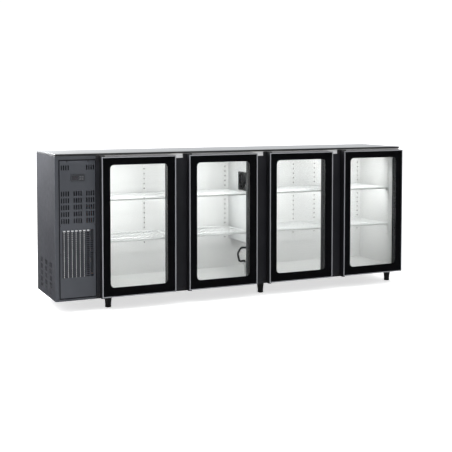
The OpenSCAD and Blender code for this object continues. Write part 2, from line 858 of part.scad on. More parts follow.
module panel_screws() {
    color("black") in_cabinet() for (p = screw_places()) difference() {
        rod_y(p[0], p[1], panel_y - 1.8, panel_y, screw_r);
        block([p[0] - 2.5, panel_y - 2, p[1] - 0.5], [p[0] + 2.5, panel_y - 1, p[1] + 0.5]);
        block([p[0] - 0.5, panel_y - 2, p[1] - 2.5], [p[0] + 0.5, panel_y - 1, p[1] + 2.5]);
    }
}

function key_place(k) = [
    panel_mid + key_x0 + (k % 2) * key_pitch_x,
    controller_z + controller_h / 2 + (k < 2 ? 1 : -1) * key_pitch_z / 2,
];

module controller_case() {
    x0 = panel_mid - controller_w / 2;
    face = panel_y - bezel_t;
    color("black") in_cabinet() difference() {
        union() {
            block([x0, face, controller_z], [x0 + controller_w, panel_y, controller_z + controller_h]);
            block([x0 + 2 + fit_gap, panel_y, controller_z + 3 + fit_gap],
                [x0 + controller_w - 2 - fit_gap, controller_depth, controller_z + controller_h - 3 - fit_gap]);
        }
        block([x0 + 7, face - 1, controller_z + 8], [x0 + 41, face + 1, controller_z + controller_h - 8]);
        for (k = [0 : 3]) {
            p = key_place(k);
            block([p[0] - key_w / 2 - moving_gap, face - 1, p[1] - key_h / 2 - moving_gap],
                [p[0] + key_w / 2 + moving_gap, face + key_t + moving_gap, p[1] + key_h / 2 + moving_gap]);
        }
    }
}

module controller_key(k) {
    p = key_place(k);
    face = panel_y - bezel_t;
    color("gray") in_cabinet()
        block([p[0] - key_w / 2, face - key_travel, p[1] - key_h / 2],
            [p[0] + key_w / 2, face + key_t - key_travel, p[1] + key_h / 2]);
}

module condensing_base() {
    color("silver") in_cabinet() translate([tray_x0, tray_y0, sheet_t])
        open_tray(tray_x1 - tray_x0, tray_y1 - tray_y0, tray_h, 1.5);
}

module compressor_shell() {
    r = compressor_d / 2;
    h = compressor_h;
    rotate_extrude($fn = 64) polygon([
        [0, 0], [r * 0.62, 0], [r * 0.86, h * 0.06], [r * 0.97, h * 0.16], [r * 0.97, h * 0.5],
        [r, h * 0.5], [r, h * 0.56], [r * 0.97, h * 0.56], [r * 0.97, h * 0.8],
        [r * 0.84, h * 0.92], [r * 0.55, h * 0.98], [0, h],
    ]);
}

module compressor() {
    r = compressor_d / 2;
    h = compressor_h;
    color("black") in_cabinet() translate([condenser_mid, compressor_y, compressor_z]) {
        compressor_shell();
        for (a = [45 : 90 : 315]) {
            rotate([0, 0, a]) block([r * 0.4, -11, -2.5], [r + 10, 11, 0.5]);
        }
        block([-r - 12, -26, h * 0.25], [-r * 0.8, 26, h * 0.7]);
    }
}

module compressor_mounts() {
    floor_z = sheet_t + 1.5;
    color("dimgray") in_cabinet() for (a = [45 : 90 : 315]) {
        translate([condenser_mid, compressor_y, floor_z]) rotate([0, 0, a])
            translate([compressor_d / 2 + 2, 0, 0]) cylinder(h = compressor_z - 2.5 - floor_z, r = 9);
    }
}

module condenser_coil() {
    x0 = condenser_mid - condenser_w / 2;
    x1 = condenser_mid + condenser_w / 2;
    fins = floor(condenser_w / fin_pitch);
    color("silver") in_cabinet() {
        for (k = [0 : fins]) {
            x = x0 + k * (condenser_w - fin_t) / fins;
            block([x, condenser_y, condenser_z],
                [x + fin_t, condenser_y + condenser_d, condenser_z + condenser_h]);
        }
        for (y = [condenser_y + condenser_d / 4, condenser_y + condenser_d * 3 / 4], k = [0 : tube_rows - 1]) {
            rod_x(y, condenser_z + (k + 0.5) * condenser_h / tube_rows, x0 - tube_over, x1 + tube_over, tube_r);
        }
    }
}

module fan_shroud() {
    color("dimgray") in_cabinet() difference() {
        union() {
            block([tray_x0 + 2, shroud_y, sheet_t + 1.5],
                [tray_x1 - 2, shroud_y + shroud_t, condenser_z + condenser_h + 6]);
            rod_y(condenser_mid, fan_z, shroud_y, shroud_y + collar_d, fan_r + 6);
        }
        rod_y(condenser_mid, fan_z, shroud_y - 1, shroud_y + collar_d + 1, fan_r + 4);
    }
}

module condenser_fan_motor() {
    color("black") in_cabinet() {
        rod_y(condenser_mid, fan_z, fan_motor_y, fan_motor_y + fan_motor_d, fan_motor_r);
        rod_y(condenser_mid, fan_z, fan_y + 1, fan_motor_y + 1, shaft_r);
        for (a = [45, 135, 225, 315]) {
            translate([condenser_mid, 0, fan_z]) rotate([0, a, 0]) {
                block([fan_motor_r - 3, fan_motor_y + 4, -4], [fan_r + 16, fan_motor_y + 6, 4]);
                block([fan_r + 14, shroud_y + shroud_t, -4], [fan_r + 16, fan_motor_y + 6, 4]);
            }
        }
    }
}

module condenser_fan_blade() {
    color("slategray") in_cabinet() translate([condenser_mid, fan_y, fan_z]) rotate([-90, 0, 0])
        fan_wheel(5, fan_r, fan_hub_r, fan_depth, 24);
}

module evaporation_pan() {
    color("gray") in_cabinet() translate([condenser_mid - 78, compressor_y - 62, pan_z])
        open_tray(156, 124, pan_h, pan_t);
}

// The discharge line from the compressor to the condenser, the line from there to the drier, and then the
// liquid line and the suction line, which run through the service hole and the channel in the back wall's
// foam into the evaporator's housing
module refrigerant_pipes() {
    low_z = condenser_z + 0.5 * condenser_h / tube_rows;
    high_z = condenser_z + (tube_rows - 0.5) * condenser_h / tube_rows;
    tube_end = condenser_mid + condenser_w / 2 + tube_over;
    side_x = bay_x1 - 10;
    port_z = compressor_z + compressor_h * 0.62;
    port_y = compressor_y - compressor_d * 0.35;
    port_in = compressor_d * 0.35;
    suction_x = drier_x - 8;
    end_y = in_y1 - 12;
    color("peru") in_cabinet() {
        difference() {
            tube_run([
                [condenser_mid + 30, port_y, port_z], [condenser_mid + 30, port_y - 38, port_z],
                [side_x, port_y - 50, low_z], [side_x, condenser_y + condenser_d / 4, low_z],
                [tube_end, condenser_y + condenser_d / 4, low_z],
            ], 3, 8);
            translate([condenser_mid, compressor_y, compressor_z]) compressor_shell();
        }
        tube_run([
            [drier_x, drier_y, drier_z + drier_h], [drier_x, drier_y, drier_z + drier_h + 20],
            [side_x, condenser_y + condenser_d * 3 / 4, drier_z + drier_h + 20],
            [side_x, condenser_y + condenser_d * 3 / 4, high_z],
            [tube_end, condenser_y + condenser_d * 3 / 4, high_z],
        ], 3, 8);
        tube_run([
            [drier_x, drier_y, drier_z], [drier_x, drier_y, drier_z - 26],
            [drier_x, service_y - 4, service_z + 6], [evap_mid + 5, service_y - 4, service_z + 6],
            [evap_mid + 5, end_y, service_z + 6],
        ], 2.5, 6);
        difference() {
            tube_run([
                [condenser_mid + port_in, compressor_y, port_z], [suction_x, compressor_y, port_z],
                [suction_x, compressor_y, service_z - 56], [suction_x, service_y + 2, service_z - 4],
                [evap_mid - 6, service_y + 2, service_z - 4], [evap_mid - 6, end_y, service_z - 4],
            ], 5, 8);
            translate([condenser_mid, compressor_y, compressor_z]) compressor_shell();
        }
    }
}

module filter_drier() {
    neck_r = 4;
    body_r = 11;
    taper = 14;
    color("chocolate") in_cabinet() translate([drier_x, drier_y, drier_z]) rotate_extrude() polygon([
        [0, 0], [neck_r, 0], [body_r, taper], [body_r, drier_h - taper], [neck_r, drier_h], [0, drier_h],
    ]);
}

module cable_gland() {
    inside_y = cabinet_d - sheet_t;
    nut_t = 8;
    cable_r = 5;
    color("black") in_cabinet() difference() {
        union() {
            rod_y(bay_x1 / 2, gland_z, inside_y - nut_t, inside_y, gland_r + 4);
            rod_y(bay_x1 / 2, gland_z, inside_y, cabinet_d, gland_r);
        }
        rod_y(bay_x1 / 2, gland_z, inside_y - nut_t - 1, cabinet_d + 1, cable_r);
    }
}

worktop();
header_rail();
front_frame();
mullions();
motor_side_panel();
right_side_panel();
back_panel();
base_panel();
insulation();
inner_liner();
hinge_plates();
hinge_pins();
legs();
upper_shelves();
lower_shelves();
shelf_rails();
shelf_clips();
evaporator_cover();
evaporator_coil();
evaporator_fan_frames();
evaporator_fan_1();
evaporator_fan_2();
drain_tray();
drain_hose();
light_strips();
motor_bay_frame();
motor_panel();
panel_screws();
controller_case();
controller_key(0);  // controller_key_1
controller_key(1);  // controller_key_2
controller_key(2);  // controller_key_3
controller_key(3);  // controller_key_4
compressor();
compressor_mounts();
condensing_base();
condenser_coil();
fan_shroud();
condenser_fan_motor();
condenser_fan_blade();
evaporation_pan();
refrigerant_pipes();
filter_drier();
cable_gland();
door_frame(0);  // door_1_frame
door_glazing(0);  // door_1_glazing
door_spacer(0);  // door_1_spacer
door_gasket(0);  // door_1_gasket
door_frame(1);  // door_2_frame
door_glazing(1);  // door_2_glazing
door_spacer(1);  // door_2_spacer
door_gasket(1);  // door_2_gasket
door_frame(2);  // door_3_frame
door_glazing(2);  // door_3_glazing
door_spacer(2);  // door_3_spacer
door_gasket(2);  // door_3_gasket
door_frame(3);  // door_4_frame
door_glazing(3);  // door_4_glazing
door_spacer(3);  // door_4_spacer
door_gasket(3);  // door_4_gasket
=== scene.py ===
"""Looks of an under counter bar fridge with four glass doors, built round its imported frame.

Lengths are metres in the part's own frame: +X along the doors, -Y towards the user, +Z up.
"""

import logging
import math
from contextlib import contextmanager
from dataclasses import dataclass
from enum import Enum
from typing import Callable, Iterator, Sequence

import bmesh
import bpy
from mathutils import Matrix, Vector


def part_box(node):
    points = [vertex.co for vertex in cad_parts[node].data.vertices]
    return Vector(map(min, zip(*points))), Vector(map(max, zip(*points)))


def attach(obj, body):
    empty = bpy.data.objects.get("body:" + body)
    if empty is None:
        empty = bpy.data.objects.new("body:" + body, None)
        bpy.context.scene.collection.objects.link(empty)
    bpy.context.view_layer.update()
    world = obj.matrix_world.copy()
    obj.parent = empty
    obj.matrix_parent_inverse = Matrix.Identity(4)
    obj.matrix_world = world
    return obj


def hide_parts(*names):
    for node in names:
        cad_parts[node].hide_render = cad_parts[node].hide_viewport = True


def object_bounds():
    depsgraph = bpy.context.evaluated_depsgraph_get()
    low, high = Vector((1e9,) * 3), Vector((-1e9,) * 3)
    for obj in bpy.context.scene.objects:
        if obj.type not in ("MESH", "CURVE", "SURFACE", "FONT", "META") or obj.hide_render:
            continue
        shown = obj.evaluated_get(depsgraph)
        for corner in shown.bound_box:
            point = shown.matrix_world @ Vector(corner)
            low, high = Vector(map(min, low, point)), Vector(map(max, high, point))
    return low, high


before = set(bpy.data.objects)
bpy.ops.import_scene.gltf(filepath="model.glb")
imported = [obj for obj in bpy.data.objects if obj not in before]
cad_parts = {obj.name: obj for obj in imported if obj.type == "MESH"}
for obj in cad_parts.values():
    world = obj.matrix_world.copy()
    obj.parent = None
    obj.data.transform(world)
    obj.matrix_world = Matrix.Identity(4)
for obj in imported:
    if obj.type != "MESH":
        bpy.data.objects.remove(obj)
CAD_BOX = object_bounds()
LOG = logging.getLogger("bar_fridge")
MM = 0.001
Colour = tuple[float, float, float]


class Axis(Enum):
    """An axis of the frame."""

    X = 0
    Y = 1
    Z = 2


# ---- Shader language -------------------------------------------------------------------------


class Value:
    """A shader socket that takes part in ordinary arithmetic."""

    def __init__(self, shader: "Shader", socket: bpy.types.NodeSocket) -> None:
        """Keeps the socket and the shader that it belongs to."""
        self.shader = shader
        self.socket = socket

    def _math(self, operation: str, first: object, second: object) -> "Value":
        """Adds one Math node and returns its result."""
        return self.shader.node("ShaderNodeMath", {"operation": operation}, {0: first, 1: second})

    def __add__(self, other: object) -> "Value":
        """Sum."""
        return self._math("ADD", self, other)

    def __sub__(self, other: object) -> "Value":
        """Difference."""
        return self._math("SUBTRACT", self, other)

    def __rsub__(self, other: object) -> "Value":
        """Reflected difference."""
        return self._math("SUBTRACT", other, self)

    def __mul__(self, other: object) -> "Value":
        """Product."""
        return self._math("MULTIPLY", self, other)

    __radd__ = __add__
    __rmul__ = __mul__

    def span(self, low: float, high: float) -> "Value":
        """Maps this value's range 0 to 1 onto low to high."""
        return self * (high - low) + low


class Shader:
    """One node material and the nodes that it is made of."""

    def __init__(self, name: str) -> None:
        """Starts an empty node material.

        Args:
            name: The material's name.
        """
        self.material = bpy.data.materials.new(name)
        self.material.use_nodes = True
        self.tree = self.material.node_tree
        self.tree.nodes.clear()

    def node(self, kind: str, settings: dict | None = None, values: dict | None = None, out: int | str = 0) -> Value:
        """Adds a node.

        Args:
            kind: The node's type.
            settings: Its own settings, which are set first.
            values: What its sockets take, by name or number: numbers, colours or Values.
            out: The output that is returned, by name or number.

        Returns:
            The chosen output.
        """
        made = self.tree.nodes.new(kind)
        for key, setting in (settings or {}).items():
            setattr(made, key, setting)
        for key, value in (values or {}).items():
            if isinstance(value, Value):
                self.tree.links.new(value.socket, made.inputs[key])
            elif isinstance(value, tuple) and len(value) == 3 and made.inputs[key].type == "RGBA":
                made.inputs[key].default_value = (*value, 1.0)
            else:
                made.inputs[key].default_value = value
        return Value(self, made.outputs[out])

    def place(self, scale: Sequence[float] = (1.0, 1.0, 1.0)) -> Value:
        """Object coordinates, stretched by a scale for each axis."""
        coords = self.node("ShaderNodeTexCoord", out="Object")
        return self.node("ShaderNodeMapping", {}, {"Vector": coords, "Scale": tuple(scale)})

    def noise(self, scale: float, detail: float = 3.0, at: Value | None = None) -> Value:
        """Noise from 0 to 1 whose features are about 1 / scale metres."""
        values = {"Vector": at or self.place(), "Scale": scale, "Detail": detail}
        return self.node("ShaderNodeTexNoise", {}, values)

    def cells(self, scale: float, at: Value | None = None, out: str = "Color") -> Value:
        """Voronoi cells about 1 / scale metres wide."""
        return self.node("ShaderNodeTexVoronoi", {}, {"Vector": at or self.place(), "Scale": scale}, out)

    def coordinate(self, axis: Axis) -> Value:
        """One object coordinate as a number."""
        split = self.node("ShaderNodeSeparateXYZ", {}, {0: self.node("ShaderNodeTexCoord", out="Object")})
        return Value(self, split.socket.node.outputs[axis.value])

    def blend(self, factor: Value, first: Colour, second: Colour) -> Value:
        """A colour between two, by a factor."""
        values = {"Factor": factor, 6: first, 7: second}
        return self.node("ShaderNodeMix", {"data_type": "RGBA"}, values, out=2)

    def ramp(self, factor: Value, low: float, high: float) -> Value:
        """0 below low and 1 above high, smoothly between."""
        settings = {"interpolation_type": "SMOOTHSTEP"}
        return self.node("ShaderNodeMapRange", settings, {0: factor, 1: low, 2: high})

    def bump(self, height: Value, distance: float, strength: float = 1.0) -> Value:
        """A normal that follows a height, in metres for a height of 1."""
        values = {"Height": height, "Distance": distance, "Strength": strength}
        return self.node("ShaderNodeBump", {}, values)

    def surface(self, values: dict) -> bpy.types.Material:
        """Ends the material in one Principled surface and returns it."""
        return self.output(self.node("ShaderNodeBsdfPrincipled", {}, values))

    def output(self, shader: Value) -> bpy.types.Material:
        """Ends the material in a shader and returns it.

        Args:
            shader: The shader.

        Returns:
            The material.
        """
        end = self.tree.nodes.new("ShaderNodeOutputMaterial")
        self.tree.links.new(shader.socket, end.inputs["Surface"])
        return self.material


# ---- Finishes --------------------------------------------------------------------------------


@dataclass(frozen=True)
class PowderCoat:
    """Baked paint on sheet steel: fine orange peel, faint mottling and dust."""

    name: str
    tint: Colour
    roughness: float = 0.42
    grain: float = 900.0
    peel: float = 0.00006
    dust: float = 0.12

    def material(self) -> bpy.types.Material:
        """Builds the finish.

        Returns:
            The material.
        """
        s = Shader(self.name)
        mottle = s.noise(7.0, 4.0)
        fine = s.noise(self.grain, 2.0)
        dusty = s.ramp(s.noise(26.0, 6.0), 0.52, 0.8) * self.dust
        pale = tuple(c * 1.12 + 0.012 for c in self.tint)
        deep = tuple(c * 0.86 for c in self.tint)
        coat = s.blend(mottle, deep, pale)
        grey = tuple(c * 0.6 + 0.06 for c in self.tint)
        coat = s.node("ShaderNodeMix", {"data_type": "RGBA"}, {"Factor": dusty, 6: coat, 7: grey}, out=2)
        return s.surface({
            "Base Color": coat,
            "Roughness": s.noise(40.0, 3.0).span(self.roughness - 0.06, self.roughness + 0.08) + dusty * 0.5,
            "Normal": s.bump(fine, self.peel),
        })


@dataclass(frozen=True)
class BrushedMetal:
    """Brushed or drawn metal, with its grain along one axis and faint handling marks."""

    name: str
    tint: Colour
    grain: Axis = Axis.X
    roughness: float = 0.3
    metallic: float = 1.0
    lines: float = 0.00002

    def material(self) -> bpy.types.Material:
        """Builds the finish.

        Returns:
            The material.
        """
        s = Shader(self.name)
        stretch = [1500.0, 1500.0, 1500.0]
        stretch[self.grain.value] = 9.0
        lines = s.noise(1.0, 3.0, s.place(stretch))
        marks = s.ramp(s.noise(14.0, 5.0), 0.45, 0.75)
        light = tuple(min(c * 1.06, 1.0) for c in self.tint)
        dark = tuple(c * 0.84 for c in self.tint)
        return s.surface({
            "Base Color": s.blend(lines, dark, light),
            "Metallic": self.metallic,
            "Roughness": lines.span(self.roughness - 0.05, self.roughness + 0.07) + marks * 0.06,
            "Normal": s.bump(lines, self.lines),
        })


@dataclass(frozen=True)
class Galvanised:
    """Zinc-coated sheet with its spangle."""

    name: str
    tint: Colour = (0.62, 0.64, 0.66)
    spangle: float = 90.0

    def material(self) -> bpy.types.Material:
        """Builds the finish.

        Returns:
            The material.
        """
        s = Shader(self.name)
        warped = s.node("ShaderNodeVectorMath", {"operation": "ADD"}, {0: s.place(), 1: s.node(
            "ShaderNodeVectorMath", {"operation": "SCALE"},
            {0: s.node("ShaderNodeTexNoise", {}, {"Vector": s.place(), "Scale": 60.0}, "Color"), "Scale": 0.012})})
        crystal = s.node("ShaderNodeSeparateColor", {}, {0: s.cells(self.spangle, warped)})
        return s.surface({
            "Base Color": s.blend(crystal, tuple(c * 0.78 for c in self.tint), self.tint),
            "Metallic": 0.9,
            "Roughness": crystal.span(0.32, 0.52),
            "Normal": s.bump(crystal, 0.00003),
        })


@dataclass(frozen=True)
class Moulded:
    """Moulded plastic: a soft texture, slight sink marks and scuffs."""

    name: str
    tint: Colour
    roughness: float = 0.45
    texture: float = 700.0

    def material(self) -> bpy.types.Material:
        """Builds the finish.

        Returns:
            The material.
        """
        s = Shader(self.name)
        scuff = s.ramp(s.noise(120.0, 5.0), 0.55, 0.78)
        worn = tuple(c * 0.8 + 0.05 for c in self.tint)
        return s.surface({
            "Base Color": s.blend(scuff * 0.6, self.tint, worn),
            "Roughness": s.noise(60.0).span(self.roughness - 0.05, self.roughness + 0.1),
            "Normal": s.bump(s.noise(self.texture, 2.0), 0.00005),
        })


@dataclass(frozen=True)
class Rubber:
    """Extruded rubber or soft vinyl with fine lengthways lines and a dusty bloom."""

    name: str
    tint: Colour
    roughness: float = 0.62

    def material(self) -> bpy.types.Material:
        """Builds the finish.

        Returns:
            The material.
        """
        s = Shader(self.name)
        bloom = s.ramp(s.noise(45.0, 5.0), 0.42, 0.8)
        return s.surface({
            "Base Color": s.blend(bloom, self.tint, tuple(c * 0.85 + 0.035 for c in self.tint)),
            "Roughness": bloom.span(self.roughness, self.roughness + 0.15),
            "Normal": s.bump(s.noise(1300.0, 2.0), 0.00004),
        })


@dataclass(frozen=True)
class CoatedWire:
    """Steel wire under a plastic coat, thicker in places as dipped wire is."""

    name: str
    tint: Colour = (0.86, 0.87, 0.87)

    def material(self) -> bpy.types.Material:
        """Builds the finish.

        Returns:
            The material.
        """
        s = Shader(self.name)
        runs = s.noise(55.0, 4.0)
        return s.surface({
            "Base Color": s.blend(runs, tuple(c * 0.93 for c in self.tint), self.tint),
            "Roughness": runs.span(0.22, 0.36),
            "Coat Weight": 0.25,
            "Normal": s.bump(s.noise(240.0), 0.00012),
        })


@dataclass(frozen=True)
class RoomSheet:
    """The cold room's pale embossed sheet: a stucco pattern, faint cloudiness and handling marks."""

    name: str
    tint: Colour = (0.81, 0.81, 0.805)
    metallic: float = 0.08
    roughness: float = 0.34

    def material(self) -> bpy.types.Material:
        """Builds the finish.

        Returns:
            The material.
        """
        s = Shader(self.name)
        cloud = s.noise(5.0, 5.0)
        stucco = s.cells(420.0, out="Distance")
        marks = s.ramp(s.noise(30.0, 6.0), 0.55, 0.8)
        return s.surface({
            "Base Color": s.blend(cloud, tuple(c * 0.94 for c in self.tint), self.tint),
            "Metallic": self.metallic,
            "Roughness": cloud.span(self.roughness - 0.05, self.roughness + 0.06) + marks * 0.08,
            "Normal": s.bump(stucco, 0.00007),
        })


@dataclass(frozen=True)
class ClearGlass:
    """Float glass that lets light through, with a faint film of dust."""

    name: str
    tint: Colour = (0.985, 0.99, 0.988)

    def material(self) -> bpy.types.Material:
        """Builds the finish.

        Returns:
            The material.
        """
        s = Shader(self.name)
        film = s.ramp(s.noise(18.0, 6.0), 0.5, 0.85)
        clear = s.node("ShaderNodeBsdfTransparent", {}, {"Color": self.tint})
        gloss = s.node("ShaderNodeBsdfGlossy", {}, {"Color": (0.95, 0.97, 0.96), "Roughness": film.span(0.0, 0.04)})
        mirror = s.node("ShaderNodeFresnel", {}, {"IOR": 1.45})
        return s.output(s.node("ShaderNodeMixShader", {}, {0: mirror, 1: clear, 2: gloss}))


@dataclass(frozen=True)
class Ink:
    """Black ceramic print fired onto the inside of the glass, with a fine pinhole grain."""

    name: str
    tint: Colour = (0.004, 0.004, 0.006)

    def material(self) -> bpy.types.Material:
        """Builds the finish.

        Returns:
            The material.
        """
        s = Shader(self.name)
        grain = s.noise(650.0, 2.0)
        return s.surface({
            "Base Color": s.blend(grain, self.tint, tuple(c * 1.8 for c in self.tint)),
            "Roughness": grain.span(0.5, 0.65),
            "Specular IOR Level": 0.2,
        })


@dataclass(frozen=True)
class Foam:
    """Cut polyurethane foam with open cells."""

    name: str
    tint: Colour = (0.72, 0.6, 0.36)

    def material(self) -> bpy.types.Material:
        """Builds the finish.

        Returns:
            The material.
        """
        s = Shader(self.name)
        cell = s.cells(600.0, out="Distance")
        return s.surface({
            "Base Color": s.blend(cell, tuple(c * 0.7 for c in self.tint), self.tint),
            "Roughness": cell.span(0.8, 0.95),
            "Normal": s.bump(cell, 0.0004),
        })


@dataclass(frozen=True)
class Lamp:
    """A frosted diffuser over a row of light-emitting diodes, brighter over each of them."""

    name: str
    power: float = 0.25
    pitch: float = 0.03

    def material(self) -> bpy.types.Material:
        """Builds the finish.

        Returns:
            The material.
        """
        s = Shader(self.name)
        wave = s.node("ShaderNodeMath", {"operation": "SINE"}, {0: s.coordinate(Axis.X) * (2 * math.pi / self.pitch)})
        glow = wave.span(0.0, 0.5) + 0.5
        return s.surface({
            "Base Color": (0.9, 0.92, 0.94),
            "Roughness": s.noise(300.0).span(0.35, 0.5),
            "Emission Color": s.blend(glow, (0.78, 0.84, 0.92), (1.0, 1.0, 1.0)),
            "Emission Strength": self.power,
        })


@dataclass(frozen=True)
class PaleFloor:
    """The studio's pale floor, lit a little from within so that shadows stay soft."""

    name: str
    tint: Colour = (0.84, 0.845, 0.85)
    glow: float = 0.62

    def material(self) -> bpy.types.Material:
        """Builds the finish.

        Returns:
            The material.
        """
        s = Shader(self.name)
        return s.surface({
            "Base Color": self.tint,
            "Roughness": s.noise(3.0).span(0.6, 0.7),
            "Emission Color": (1.0, 1.0, 1.0),
            "Emission Strength": self.glow,
        })


PAINT = PowderCoat("case_charcoal_paint", (0.044, 0.048, 0.058), 0.46)
FRAME_PAINT = PowderCoat("face_frame_paint", (0.013, 0.0135, 0.018), 0.4, dust=0.05)
SIDE_PAINT = PowderCoat("side_panel_paint", (0.028, 0.029, 0.034), 0.34, dust=0.05)
HINGE_PAINT = PowderCoat("hinge_black_paint", (0.012, 0.012, 0.014), 0.35)
COMPRESSOR_PAINT = PowderCoat("compressor_black_enamel", (0.012, 0.013, 0.014), 0.28, 300.0, 0.00015)
STAINLESS = BrushedMetal("worktop_stainless", (0.58, 0.585, 0.59), Axis.X, 0.34)
HEADER = BrushedMetal("header_satin_aluminium", (0.78, 0.78, 0.79), Axis.X, 0.38, 0.3)
TRIM = BrushedMetal("door_edge_satin_aluminium", (0.44, 0.45, 0.48), Axis.Z, 0.4, 0.5)
PROFILE = BrushedMetal("door_profile_black_anodised", (0.016, 0.016, 0.019), Axis.Z, 0.34, 0.5)
SPACER = BrushedMetal("spacer_bar_aluminium", (0.6, 0.61, 0.62), Axis.Z, 0.4)
FIN = BrushedMetal("fin_aluminium", (0.8, 0.81, 0.82), Axis.Y, 0.36)
PIN = BrushedMetal("hinge_pin_steel", (0.6, 0.6, 0.61), Axis.Z, 0.28)
BLACK_FIN = PowderCoat("condenser_black_fin", (0.008, 0.008, 0.009), 0.5, dust=0.04)
COPPER = BrushedMetal("copper_tube", (0.78, 0.42, 0.27), Axis.Y, 0.33)
ZINC = Galvanised("galvanised_sheet")
RAIL = BrushedMetal("shelf_rail_steel", (0.84, 0.84, 0.83), Axis.Z, 0.36, 0.2)
ROOM = RoomSheet("cold_room_sheet")
WIRE = CoatedWire("shelf_wire_coat")
CLIP = Moulded("clip_white_nylon", (0.82, 0.82, 0.8), 0.42)
LEG = Moulded("leg_black_polyamide", (0.011, 0.011, 0.012), 0.44)
FAN = Moulded("fan_black_plastic", (0.016, 0.017, 0.018), 0.5)
CASE = Moulded("controller_black_plastic", (0.034, 0.036, 0.041), 0.36)
GUARD = PowderCoat("condenser_guard_white_zinc", (0.82, 0.83, 0.84), 0.4, dust=0.03)
HOUSING = PowderCoat("evaporator_white_paint", (0.78, 0.79, 0.79), 0.36, 700.0, 0.00004, 0.05)
FLOOR = PaleFloor("studio_floor_pale")
KEY = Moulded("key_grey_plastic", (0.09, 0.092, 0.1), 0.4)
WINDOW = Moulded("display_smoked_window", (0.03, 0.031, 0.036), 0.2)
SEGMENT = Moulded("display_dark_segments", (0.05, 0.03, 0.03), 0.3)
TRAY = Moulded("tray_black_plastic", (0.02, 0.02, 0.022), 0.5)
# Dark finish for the strips behind the rail holes: painted shade for the shaded insides of the rail channels.
SHADE = Moulded("rail_hole_painted_shade", (0.02, 0.02, 0.022), 0.6)
FILTER = Foam("dust_filter_foam", (0.010, 0.010, 0.011))
DRAIN = Moulded("drain_pipe_white_plastic", (0.84, 0.85, 0.84), 0.4)
HOSE = Rubber("drain_hose_rubber", (0.03, 0.031, 0.034))
GASKET = Rubber("door_gasket_vinyl", (0.045, 0.046, 0.05))
MOUNT = Rubber("compressor_mount_rubber", (0.02, 0.02, 0.021))
GLASS = ClearGlass("door_glass")
# Black print on the glass; the same black on the motor panel's edge strip is painted shade for the shadow gap round
# the panel.
BLACK_PRINT_AND_GAP_SHADE = Ink("black_print_and_gap_shade")
FOAM = Foam("wall_foam")
DIFFUSER = Lamp("light_strip_diffuser")
_made: dict[str, bpy.types.Material] = {}


def dressed(finish: object) -> bpy.types.Material:
    """The material of a finish, made once.

    Args:
        finish: A finish with a name and a material method.

    Returns:
        Its material.
    """
    if finish.name not in _made:
        _made[finish.name] = finish.material()
    return _made[finish.name]


# ---- Modelling -------------------------------------------------------------------------------


def only(*objects: bpy.types.Object) -> None:
    """Selects these objects and nothing else, the first one active.

    Args:
        objects: The objects.
    """
    bpy.ops.object.select_all(action="DESELECT")
    for obj in objects:
        obj.select_set(True)
    bpy.context.view_layer.objects.active = objects[0]


@contextmanager
def editing(obj: bpy.types.Object, kind: str = "FACE") -> Iterator[None]:
    """Opens an object in edit mode with nothing selected.

    Args:
        obj: The object.
        kind: VERT, EDGE or FACE, what is selected in it.

    Yields:
        Nothing, while the edit is open.
    """
    only(obj)
    bpy.ops.object.mode_set(mode="EDIT")
    bpy.ops.mesh.select_mode(type=kind)
    bpy.ops.mesh.select_all(action="DESELECT")
    yield
    bpy.ops.object.mode_set(mode="OBJECT")


def pick(obj: bpy.types.Object, kind: str, test: Callable[[object], bool]) -> int:
    """Selects what passes a test in an open edit.

    Args:
        obj: The object being edited.
        kind: verts, edges or faces.
        test: Says whether one of them is selected.

    Returns:
        How many are selected.
    """
    bpy.ops.mesh.select_all(action="DESELECT")
    mesh = bmesh.from_edit_mesh(obj.data)
    chosen = [item for item in getattr(mesh, kind) if test(item)]
    for item in chosen:
        item.select_set(True)
    bmesh.update_edit_mesh(obj.data)
    return len(chosen)


def block(name: str, low: Sequence[float], high: Sequence[float]) -> bpy.types.Object:
    """A box between two corners, to be shaped further.

    Args:
        name: The box's name.
        low: Its lowest corner.
        high: Its highest corner.

    Returns:
        The box.
    """
    low, high = Vector(low), Vector(high)
    bpy.ops.object.select_all(action="DESELECT")
    bpy.ops.mesh.primitive_cube_add(size=1, location=(low + high) / 2)
    obj = bpy.context.object
    obj.name = name
    obj.scale = high - low
    bpy.ops.object.transform_apply(location=True, rotation=True, scale=True)
    return obj


def rod(name: str, start: Sequence[float], end: Sequence[float], radius: float, sides: int = 16) -> bpy.types.Object:
    """A round bar between two points, to be shaped further.

    Args:
        name: Its name.
        start: Where it starts.
        end: Where it ends.
        radius: Its radius.
        sides: The steps round it.

    Returns:
        The bar.
    """
    start, end = Vector(start), Vector(end)
    run = end - start
    bpy.ops.object.select_all(action="DESELECT")
    bpy.ops.mesh.primitive_cylinder_add(vertices=sides, radius=radius, depth=run.length,
                                        location=(start + end) / 2,
                                        rotation=run.to_track_quat("Z", "Y").to_euler())
    obj = bpy.context.object
    obj.name = name
    bpy.ops.object.transform_apply(location=True, rotation=True, scale=True)
    return obj


def modify(obj: bpy.types.Object, kind: str, **settings: object) -> bpy.types.Object:
    """Adds a modifier with these settings and applies it.

    Args:
        obj: The object.
        kind: The modifier's type.
        settings: The modifier's settings.

    Returns:
        The object.
    """
    only(obj)
    modifier = obj.modifiers.new(kind.lower(), kind)
    for key, value in settings.items():
        setattr(modifier, key, value)
    bpy.ops.object.modifier_apply(modifier=modifier.name)
    return obj


def soften(obj: bpy.types.Object, width: float, segments: int = 2, angle: float = 35.0) -> bpy.types.Object:
    """Rounds an object's sharp edges and smooths across them.

    Args:
        obj: The object.
        width: The rounding's width.
        segments: Its steps.
        angle: The sharpest angle, in degrees, that stays as it is.

    Returns:
        The object.
    """
    modify(obj, "BEVEL", width=width, segments=segments, limit_method="ANGLE",
           angle_limit=math.radians(angle), use_clamp_overlap=True)
    return smooth(obj)


